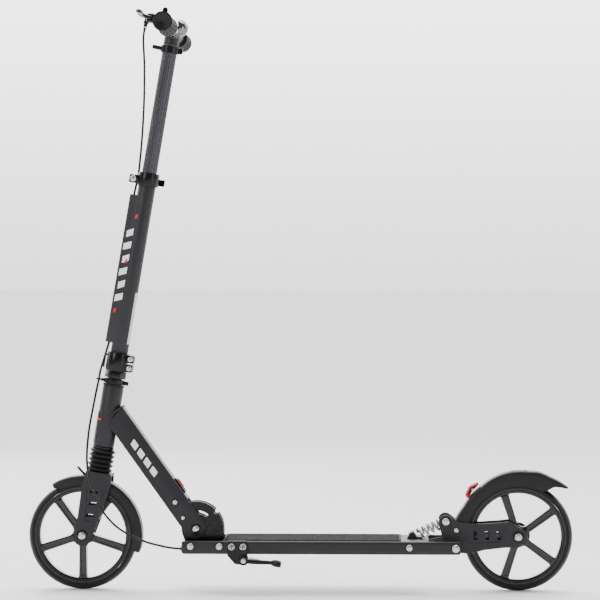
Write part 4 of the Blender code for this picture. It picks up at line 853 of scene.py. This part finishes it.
# ---------------- stem
def thin_sheet(layers):
    """A closed sheet from an inner and an outer layer, each a lower and an upper row of points."""
    bm = bmesh.new()
    (low_in, high_in), (low_out, high_out) = [[[bm.verts.new(point) for point in row] for row in layer]
                                              for layer in layers]
    last = len(low_in) - 1
    for k in range(last):
        for first, second in ((low_in, high_in), (low_out, high_out), (low_in, low_out),
                              (high_in, high_out)):
            bm.faces.new((first[k], first[k + 1], second[k + 1], second[k]))
    for k in (0, last):
        bm.faces.new((low_in[k], high_in[k], high_out[k], low_out[k]))
    return bm


def wrapped(rows, radius, thick, steps):
    """A thin sheet on a cylinder about Z. Each row gives its start and end in degrees, and its height."""
    def row_on(r, start, end, t):
        angles = [math.radians(start + (end - start) * k / steps) for k in range(steps + 1)]
        return [(r * math.cos(a), r * math.sin(a), t) for a in angles]

    lift = 0.00004
    return thin_sheet([[row_on(r, *row) for row in rows] for r in (radius + lift, radius + lift + thick)])


def build_stem():
    tube = pipe(STEM_R, STEM_BORE_R, STEM_LOW, STEM_HIGH, 0.0004, 2, 96)
    flank = FIN_SECTION + [(x, -y) for x, y in reversed(FIN_SECTION)]
    outline = rounded(flank, 0.0035, 4, closed=False) + arc((0, 0), 0.0153, 241, 119, 16)
    fin = prism([outline, circle((CHANNEL_X, 0), 0.0029, 24)], FIN_LOW, FIN_HIGH, 0.0006, 2)
    put("stem_profile", merged(tube, fin), PAINT, "stem", STEERING, "lower_stem", sharp=30)
    # Painted reflection: a pale sheet on the rear of the stem where its glossy face mirrors the bright
    # backdrop.
    sheet = wrapped([(-40, 40, 0.4600), (-40, 40, 0.5560)], STEM_R, 0.0003, 16)
    put("stem_painted_reflection_strip", sheet, PAINTED_REFLECTION, "stem", STEERING)


def flank_y(x):
    """Half the width of the stem profile at x, between its fin's corners or on its round tube."""
    return math.sqrt(STEM_R ** 2 - x * x) if x > FIN_SECTION[0][0] else table_at(FIN_SECTION, x)


def flank_bar(side, corners, steps=8):
    """A thin printed shape on the fin's flank. Corners are (x, t) in the stem's frame."""
    def row_between(lift, start, end):
        points = [(start[0] + (end[0] - start[0]) * k / steps, start[1] + (end[1] - start[1]) * k / steps)
                  for k in range(steps + 1)]
        return [(x, side * (flank_y(x) + lift), t) for x, t in points]

    rows = ((corners[0], corners[1]), (corners[3], corners[2]))
    return thin_sheet([[row_between(lift, *row) for row in rows] for lift in (0.00008, 0.00020)])


def slanted(left, right, low, height, slant):
    """A bar's corners, with its right end higher than its left by the slant."""
    return [(left, low), (right, low + slant), (right, low + slant + height), (left, low + height)]


def build_stem_graphic():
    """A plain row of slanted bars in white, with three red ones, on both flanks."""
    left, right, first, pitch, height, slant = -0.0245, -0.0100, 0.5340, 0.0240, 0.0125, 0.0060
    white, red = [], []
    for side in (-1, 1):
        for i in range(6):
            x, t = left + 0.0022 * (i % 2), first + pitch * i
            white.append(flank_bar(side, slanted(x, right, t, height, slant)))
        for x, t in ((-0.0225, 0.5130), (-0.0165, 0.6060), (-0.0110, 0.6900)):
            red.append(flank_bar(side, slanted(x, x + 0.0040, t, 0.0080, 0.0018)))
    put("stem_bars_white", merged(*white), PRINT, "stem", STEERING)
    put("stem_bars_red", merged(*red), RED_PRINT, "stem", STEERING)


def build_steerer():
    """The steerer tube with its threads hidden by a hexagonal locknut."""
    outer, inner, low, high = 0.0127, 0.0103, 0.2632, 0.440
    tube = lathe([(outer, high), (outer, low), (inner, low), (inner, high)], 48, ring=True)
    flats = rounded(circle((0, 0), 0.0199, 6), 0.0018, 4)
    nut = prism([flats, circle((0, 0), 0.0122, 48)], 0.3945, 0.4070, 0.0010, 2)
    put("steerer_and_locknut", merged(tube, nut), BLACK, "stem", STEERING, "steerer_tube")


def build_bellows():
    low, high, ridges = 0.2196, 0.2625, 5
    valley_r, bore_r = 0.0182, 0.0160
    pitch = (high - low) / ridges
    fold = ((valley_r, 0.0), (0.0205, 0.16), (0.0230, 0.36), (0.0232, 0.50), (0.0230, 0.64), (0.0205, 0.84))
    outer = [(r, high - (i + share) * pitch) for i in range(ridges) for r, share in fold]
    section = rounded(outer + [(valley_r, low)], 0.0010, 2, False) + [(bore_r, low), (bore_r, high)]
    piece = put("bellows_ribbed", lathe(section, 96, ring=True), RUBBER, "stem", STEERING, "bellows",
                sharp=70)
    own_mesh(piece)


def build_headset():
    """Both cups, and the ring over them whose eye guides the cable."""
    for name in ("lower_headset_cup", "upper_headset_cup"):
        carry(name, BLACK, 0.0004)
    low, high, outer, eye_r = 0.3838, 0.3930, 0.0197, 0.0050
    middle = (low + high) / 2
    ring = pipe(outer, 0.0133, low, high, 0.0012, 4, 96)
    groove = pipe(outer + 0.0002, outer - 0.0006, low + 0.0040, low + 0.0052, 0.0003, 2, 96)
    eye = [(x, y, middle) for x, y in circle((GUIDE_EYE_X, GUIDE_EYE_Y), eye_r, 28)]
    loop = sweep(eye, 0.0016, 12, closed=True)
    web = box((-0.0245, -0.0046, low + 0.0016), (-0.0165, 0.0026, high - 0.0016), 0.0010, 2)
    knob_r, knob_h = 0.0037, 0.0098
    profile = [(0.0, knob_h), (knob_r, knob_h), (knob_r, 0.0022), (0.0028, 0.0), (0.0, 0.0)]
    knob = turned(profile, 0.0007, 2, 28)
    knob.transform(leaning((0.0170, GUIDE_EYE_Y, middle - 0.0006), 90))
    put("cable_guide_ring", merged(carved(ring, groove), loop, web, knob), BLACK, "neck", STEERING,
        "cable_guide")


def build_stem_clamp():
    carry("stem_clamp", BLACK, 0.0008, 3)
    for node in ("clamp_bolt_lower", "clamp_bolt_upper"):
        cross_bolt(node, "stem", 0.0030, drive="hex", washer=False)
    front, top, half_w = -0.0252, 0.4370, 0.0040
    tab = merged(box((front, -half_w, 0.4110), (front + 0.0024, half_w, top), 0.0007, 2),
                 box((front + 0.0012, -half_w, top - 0.0035), (front + 0.0054, half_w, top), 0.0007, 2))
    put("clamp_front_tab", tab, BLACK, "stem", STEERING)


def build_quick_release():
    carry("qr_collar", BLACK, 0.0007, 3)
    carry("qr_lever", BLACK, 0.0008, 2)
    low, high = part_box("qr_skewer")
    x, z = (low.x + high.x) / 2, (low.z + high.z) / 2
    nut_r, nut_h = 0.0057, 0.0050
    nut = turned([(0.0, nut_h), (0.0036, nut_h), (nut_r, 0.0034), (nut_r, 0.0), (0.0, 0.0)], 0.0007, 3, 40)
    nut.transform(across(x, z, low.y + 0.0048, -1))
    rod = placed(plug(0.0026, low.y + 0.003, high.y, 24), across(x, z))
    put("qr_skewer_and_nut", merged(nut, rod), ZINC, "stem", None, "qr_skewer")


# ---------------- handlebar
def fluted(radius, depth, flutes, per_flute=10):
    """A round outline with rounded lengthwise grooves."""
    points = []
    for i in range(flutes * per_flute):
        angle = 2 * math.pi * i / (flutes * per_flute)
        r = radius - depth * max(0.0, math.cos(2 * math.pi * i / per_flute)) ** 0.8
        points.append((r * math.cos(angle), r * math.sin(angle)))
    return points


def build_post_and_bar():
    post = prism([fluted(POST_R, 0.0009, 14), circle((0, 0), POST_R - 0.0022, 64)], POST_LOW, BAR_T - 0.004)
    end, tee_r, chamfer = 0.0262, 0.0142, 0.0022
    half = [(0.0, end), (tee_r - 0.0016, end), (tee_r, end - chamfer)]
    tee = turned(half + [(r, -y) for r, y in reversed(half)], 0.0012, 3, 72)
    tee.transform(across(0, BAR_T))
    foot = BAR_T - 0.0225
    skirt = turned([(0.0, BAR_T), (0.0140, BAR_T), (0.0140, foot + 0.0045), (0.0150, foot), (0.0, foot)],
                   0.0010, 3, 64)
    bar = placed(plug(BAR_R, -BAR_HALF, BAR_HALF, 56, 0.0008), across(0, BAR_T))
    put("fluted_post", post, TUBE_BLACK, "handlebar", STEERING, "handlebar", sharp=50)
    put("bar_and_tee", merged(tee, skirt, bar), PAINT, "handlebar", STEERING)


def grip_surface(outer, inner):
    """A grip with a diamond pattern between two collars. Its open end is towards the middle."""
    bm = bmesh.new()
    around, rows, base_r = 96, 150, 0.0153
    rings = []
    for i in range(rows + 1):
        share = i / rows
        y = inner + (outer - inner) * share
        collar = max(0.0, 1 - share / 0.055) + max(0.0, 1 - (1 - share) / 0.075)
        base = base_r + 0.0006 * math.cos(2 * math.pi * share) + 0.0018 * min(1.0, 1.6 * collar)
        patterned = min(1.0, max(0.0, (share - 0.09) / 0.02)) * min(1.0, max(0.0, (0.90 - share) / 0.02))
        ring = []
        for k in range(around):
            a = 2 * math.pi * k / around
            wave = math.sin(8 * a + y * 700) * math.sin(8 * a - y * 700)
            r = base + 0.00055 * patterned * (1 if wave > 0.10 else wave)
            ring.append(bm.verts.new((r * math.cos(a), r * math.sin(a), y)))
        rings.append(ring)
    end = [(0.0152, 0.0012), (0.0138, 0.0010), (0.0132, 0.0004), (0.0030, 0.0002), (0.0022, -0.0010)]
    rings += [ring_of(bm, radius, outer + lift, around) for radius, lift in end]
    bore = [ring_of(bm, BAR_SEAT_R, y, around) for y in (inner, BAR_HALF + CLEARANCE)]
    for first, second in (*zip(rings, rings[1:]), (rings[0], bore[0]), bore):
        bridge(bm, first, second)
    bm.faces.new(rings[-1])
    bm.faces.new(bore[1])
    return bm


def build_grips():
    for name, side in (("grip_left", -1), ("grip_right", 1)):
        put(f"{name}_patterned", grip_surface(BAR_HALF + 0.0025, GRIP_START), RUBBER, "handlebar",
            STEERING @ across(0, BAR_T, side=side), name, sharp=60)


def build_brake_lever():
    carry("brake_perch", BLACK, 0.0008, 3)
    carry("brake_lever", SILVER, 0.0007, 3)
    put("lever_pivot_screw", screw_head(0.0036, 0.0018, "hex"), ZINC, "handlebar",
        STEERING @ Matrix.Translation(LEVER_PIVOT + Vector((0, 0, 0.0070))))
    put("perch_clamp_screw", screw_head(0.0034, 0.0026, "hex"), ZINC, "handlebar",
        STEERING @ leaning((0.0155, PERCH_Y, BAR_T - 0.004), 100))
    valley_r, rib_r, ribs = 0.0042, 0.0047, 16
    radii = [valley_r, rib_r] * ribs
    angles = [math.pi * k / ribs for k in range(2 * ribs)]
    outline = [(r * math.cos(a), r * math.sin(a)) for r, a in zip(radii, angles)]
    start, end = Vector((-0.0422, -0.0838, BAR_T + 0.0085)), Vector((-0.0440, -0.0820, BAR_T - 0.0040))
    put("cable_adjuster", prism([outline], 0.0, 0.0070, 0.0003, 1), BLACK, "handlebar",
        STEERING @ aimed(start, end - start))


def build_bell():
    y, dome_r, dome_low = BELL_Y, 0.0160, 0.0160
    lean = leaning((0, y, BAR_T), 70)
    clip = placed(pipe(0.0148, BAR_SEAT_R, -0.0058, 0.0058, 0.0008, 3, 56), across(0, BAR_T, y, -1))
    post = placed(plug(0.0050, 0.0105, 0.0180, 32), lean)
    ear = box((-0.0060, y - 0.0058, BAR_T + 0.0125), (0.0020, y + 0.0030, BAR_T + 0.0198), 0.0012, 2)
    pin = placed(plug(0.0015, 0.0, 0.0150, 20, 0.0004), across(-0.0020, BAR_T + 0.0164, y - 0.0180))
    put("bell_clip", merged(clip, post, ear, pin), BLACK, "handlebar", STEERING, "bell")
    curve = [(dome_r * math.sin(a), 0.0170 + 0.0152 * math.cos(a))
             for a in (math.radians(6 * k) for k in range(1, 16))]
    rim = [(dome_r + 0.0001, dome_low + 0.0008), (dome_r + 0.0001, dome_low), (dome_r - 0.0010, dome_low)]
    dome = placed(lathe([(0.0, 0.0322), *curve, *rim, (0.0, dome_low + 0.0006)], 64), lean)
    put("bell_dome", dome, CHROME, "handlebar", STEERING)
    cap = turned([(0.0, 0.0336), (0.0030, 0.0332), (0.0036, 0.0318), (0.0, 0.0316)], 0.0005, 3, 32)
    put("bell_cap_nut", placed(cap, lean), ZINC, "handlebar", STEERING)
    carry("bell_lever", BLACK, 0.0006, 2)


# ---------------- neck and fold
def build_weld(segments=132, step=0.0008):
    """The ripples where the down tube meets the head tube."""
    h, w = TUBE_HALF_H, TUBE_HALF_W
    outline = rounded([(h, w), (-h, w), (-h, -w), (h, -w)], 0.006, 6)
    to_head = STEERING.inverted() @ TUBE
    path = []
    for i in range(segments):
        place = i / segments * len(outline)
        k = int(place)
        first, second = Vector(outline[k]), Vector(outline[(k + 1) % len(outline)])
        p, y = first + (second - first) * (place - k)
        low, high = 0.12, 0.2620
        for _ in range(30):
            middle = (low + high) / 2
            point = to_head @ Vector((p, y, middle))
            if math.hypot(point.x, point.y) > HEAD_R and point.x > 0:
                low = middle
            else:
                high = middle
        path.append(TUBE @ Vector((p, y, low)))
    even, spot, target = [], 0.0, 0.0
    for i in range(segments):
        start, run = path[i - 1], path[i] - path[i - 1]
        while target < spot + run.length:
            even.append(start + run * ((target - spot) / run.length))
            target += step
        spot += run.length
    radii = [0.0017 + 0.0005 * abs(math.sin(k * 0.85)) for k in range(len(even))]
    put("weld_bead", sweep(even, radii, 10, closed=True), PAINT, "neck", sharp=60)


def tube_print(side, corners):
    """A thin printed shape on the down tube's side. Corners are (p, s) in the tube's frame."""
    lift = TUBE_HALF_W + 0.00006
    return side_plate([rounded(corners, 0.0012, 3)], *sorted((side * lift, side * (lift + 0.00012))))


def build_neck():
    carry("neck_frame", PAINT, 0.0008, 2)
    low, high, slant, length, pitch = -0.0075, 0.0035, 0.0040, 0.0150, 0.0200
    outlines = [[(low, s), (low, s + length), (high, s + length + slant), (high, s + slant)]
                for s in (0.122 + pitch * i for i in range(4))]
    stripes = [tube_print(side, outline) for side in (-1, 1) for outline in outlines]
    put("tube_stripes", merged(*stripes), PRINT, "neck", TUBE)
    badge_thick = 0.0009
    badge = wrapped([(138, 222, 0.2720), (146, 214, 0.3290)], HEAD_R, badge_thick, 18)
    put("head_badge_plate", badge, PAINT, "neck", STEERING)
    dash = wrapped([(206, 240, 0.3145), (206, 240, 0.3180)], HEAD_R + badge_thick, 0.0002, 10)
    put("head_badge_dash", dash, RED_PRINT, "neck", STEERING)
    cross_bolt("latch_guide_bolt", "neck", GUIDE_BOLT_HEAD, share=0.86)
    cross_bolt("stop_pin", "neck", 0.0022, washer=False)
    carry("release_housing", BLACK, 0.0005, 2)


def build_latch():
    carry("lock_pin", ZINC, 0.0004, 1)
    low, high = TUBE_HALF_H + 0.0015, TUBE_HALF_H + 0.0066
    button = box((low, -0.0070, 0.0762), (high, 0.0070, 0.0942), 0.0020, 4)
    grooves = [box((high - 0.0007, -0.0055, s), (high + 0.001, 0.0055, s + 0.0013))
               for s in (0.0800 + 0.0034 * i for i in range(4))]
    put("release_button_ribbed", carved(button, merged(*grooves)), RED, "latch", TUBE, "release_button")


def build_fold_bracket():
    """The bracket, with a raised outline on each sector plate."""
    carry("fold_bracket", BLACK, 0.0006, 2)
    low, high = -0.0170, 0.0080
    loop = rounded([(0.0140, low), (0.0430, low), (0.0330, high), (0.0215, high)], 0.004, 5)
    ridges = [sweep([FOLD + Vector((x, y, z)) for x, z in loop], 0.0007, 8, closed=True)
              for y in (-SECTOR_FACE, SECTOR_FACE)]
    put("sector_ridge", merged(*ridges), BLACK, "deck")
    cross_bolt("fold_pivot_bolt", "deck", 0.0042, share=0.76)


# ---------------- deck
def build_grip_mat():
    """A rubber mat with rows of hexagonal studs inside a plain border."""
    low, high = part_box("grip_mat")
    base = box(low, (high.x, high.y, high.z - 0.0007), 0.0006, 2)
    border, pitch, stud_r = 0.0050, 0.0058, 0.0023
    row_step = pitch * math.sqrt(3) / 2
    studs = bmesh.new()
    rows = int((high.y - low.y - 2 * border) / row_step)
    columns = int((high.x - low.x - 2 * border) / pitch)
    levels = ((1.0, high.z - 0.0009), (0.92, high.z - 0.0002), (0.72, high.z))
    corners = [(math.cos(math.radians(60 * k + 30)), math.sin(math.radians(60 * k + 30))) for k in range(6)]
    for r in range(rows + 1):
        y = low.y + border + r * row_step
        for c in range(columns + (r % 2 == 0)):
            x = low.x + border + pitch * (c + 0.5 * (r % 2))
            rings = [[studs.verts.new((x + stud_r * share * u, y + stud_r * share * v, z))
                      for u, v in corners] for share, z in levels]
            for first, second in zip(rings, rings[1:]):
                bridge(studs, first, second)
            studs.faces.new(rings[-1])
            studs.faces.new(rings[0][::-1])
    put("grip_mat_studded", merged(base, studs), GRIT, "deck", stands_for="grip_mat", sharp=30)


def build_deck():
    carry("deck", PAINT, 0.0007, 2)
    for node, head in (("bracket_bolt_front", 0.0030), ("bracket_bolt_rear", 0.0030),
                       ("swingarm_pivot_bolt", 0.0034)):
        cross_bolt(node, "deck", head)
    side_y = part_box("deck")[1].y
    for side, name in ((-1, "left"), (1, "right")):
        face_screw(f"seat_screw_{name}", "deck", 0.2008, 0.0835, side * side_y, 0.0060, 0.0028, side=side)


def build_kickstand_leg():
    """The leg: an eye on the pivot, a tapered bar, and a flattened, slightly drooping foot."""
    eye = pipe(0.0086, 0.0039, -0.0034, 0.0034, 0.0009, 3, 48)
    eye.transform(across(KICK_PIVOT.x, KICK_PIVOT.z, -0.0769))
    start_x, foot_x = -0.0935, -0.0520
    route = smooth_route([
        (start_x, -0.0762, 0.0600), (-0.0840, -0.0768, 0.0588), (-0.0680, -0.0780, 0.0584),
        (foot_x, -0.0792, 0.0578), (-0.0430, -0.0798, 0.0568), (-0.0360, -0.0802, 0.0556),
        (-0.0310, -0.0804, 0.0552)], 6)
    radii = []
    for point in route:
        share = (point.x - start_x) / 0.0625
        swell = max(0.0, 1 - ((share - 0.87) / 0.15) ** 2) if share < 1 else 0.0
        radii.append(0.0043 - 0.0010 * min(share, 0.8) + 0.0030 * swell ** 0.5)
    radii[-1] *= 0.45
    leg = sweep(route, radii, 20)
    for vertex in leg.verts:
        squeeze = min(1.0, max(0.0, (vertex.co.x - foot_x) / 0.012))
        vertex.co.y += (vertex.co.y + 0.0800) * 0.35 * squeeze
    put("kickstand_forged", merged(eye, leg), BLACK, "kickstand", stands_for="kickstand")


def build_kickstand():
    carry("kickstand_bracket", BLACK, 0.0006, 2)
    build_kickstand_leg()
    for i, x in enumerate((-0.1222, -0.1015)):
        face_screw(f"bracket_screw_{i}", "deck", x, 0.0848, -0.0696, 0.0063, 0.0034)
    face_screw("kick_pivot_screw", "deck", KICK_PIVOT.x, KICK_PIVOT.z, -0.0834, 0.0046, 0.0018, drive="hex")
    wire = coil(Vector((-0.0900, -0.0735, 0.0655)), Vector((-0.0700, -0.0745, 0.0620)), 0.0020, 11, 12)
    put("kick_spring", sweep(wire, 0.00055, 8), SPRING, "deck")


# ---------------- fork and rear end
def build_fork():
    carry("fork", PAINT, 0.0007, 2)
    carry("fork_slider", ZINC, 0.0003, 1)
    carry("front_spring", SPRING, 0.0001, 1, 80)
    cross_bolt("front_axle", "fork", 0.0045, share=0.78)


def build_rear_end():
    carry("swingarm", PAINT, 0.0007, 2)
    carry("brake_housing", BLACK, 0.0008, 3)
    cross_bolt("spring_bolt", "swingarm", 0.0040)
    cross_bolt("mudguard_bolt", "swingarm", 0.0024, washer=False)
    cross_bolt("rear_axle", "swingarm", 0.0045, share=0.78)


def build_rear_spring():
    """The suspension spring between the deck's seat and the arm's boss."""
    end = SPRING_BOSS - (SPRING_BOSS - SPRING_SEAT).normalized() * 0.0105
    piece = make("rear_spring_wound", sweep(coil(SPRING_SEAT, end, 0.0098, 4.5, 40), 0.0023, 14), SPRING)
    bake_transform(piece)
    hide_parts("rear_spring")


# ---------------- floor and light
def build_stage():
    bm = bmesh.new()
    signs = ((-1, -1), (1, -1), (1, 1), (-1, 1))
    bm.faces.new([bm.verts.new((FLOOR_HALF * x, FLOOR_HALF * y, -0.0002)) for x, y in signs])
    mesh = bpy.data.meshes.new("floor")
    bm.to_mesh(mesh)
    bm.free()
    mesh.materials.append(finish("pale_floor", "frame_paint", (0.95, 0.95, 0.95), 0.65, grain=30,
                                 relief=0.0001, mottle=0.01))
    floor = bpy.data.objects.new("floor", mesh)
    bpy.context.scene.collection.objects.link(floor)


def area_light(name, location, target, size, power):
    data = bpy.data.lights.new(name, "AREA")
    data.shape = "RECTANGLE"
    data.size, data.size_y = size
    data.energy = power
    light = bpy.data.objects.new(name, data)
    light.location = location
    light.rotation_euler = (Vector(target) - Vector(location)).to_track_quat("-Z", "Y").to_euler()
    bpy.context.scene.collection.objects.link(light)


def build_world():
    """A pale studio: brighter behind the scooter than in front, and softly graded up from the floor."""
    world = bpy.data.worlds.new("studio")
    world.use_nodes = True
    tree = world.node_tree
    background = tree.nodes["Background"]
    background.inputs["Color"].default_value = (1.0, 1.0, 1.0, 1.0)
    coords = tree.nodes.new("ShaderNodeTexCoord")
    split = tree.nodes.new("ShaderNodeSeparateXYZ")
    tree.links.new(coords.outputs["Generated"], split.inputs["Vector"])
    behind = map_range(tree, split.outputs["Y"], -0.25, 0.80, 0.0, 1.0, smooth=True)
    height = map_range(tree, split.outputs["Z"], -0.02, 0.16, HORIZON_GLOW, BACKDROP_GLOW, smooth=True)
    strength = arithmetic(tree, "ADD", arithmetic(tree, "MULTIPLY", behind, height), FRONT_GLOW)
    tree.links.new(strength, background.inputs["Strength"])
    bpy.context.scene.world = world


def build_light():
    build_world()
    area_light("key", (-2.6, -2.6, 2.4), (0, 0, 0.45), (1.4, 2.4), 70)
    area_light("fill", (3.0, -2.4, 1.2), (0, 0, 0.40), (1.2, 2.2), 26)
    area_light("top", (0.2, 0.4, 3.2), (0, 0, 0.30), (2.8, 1.2), 60)
    area_light("rim", (-1.4, 2.8, 1.8), (0, 0, 0.45), (1.6, 2.0), 40)


build_camera()
build_brake_cable()
build_wheel("front", "front_wheel", FRONT, 270)
build_wheel("rear", "rear_wheel", REAR, 180)
build_front_mudguard()
build_rear_mudguard()
build_mudguard_catch()
build_stem()
build_stem_graphic()
build_steerer()
build_bellows()
build_headset()
build_stem_clamp()
build_quick_release()
build_post_and_bar()
build_grips()
carry("parking_collar", BLACK, 0.0006, 2)
build_brake_lever()
build_bell()
build_neck()
build_weld()
build_latch()
build_fold_bracket()
build_grip_mat()
build_deck()
build_kickstand()
build_fork()
build_rear_end()
build_rear_spring()
build_stage()
build_light()
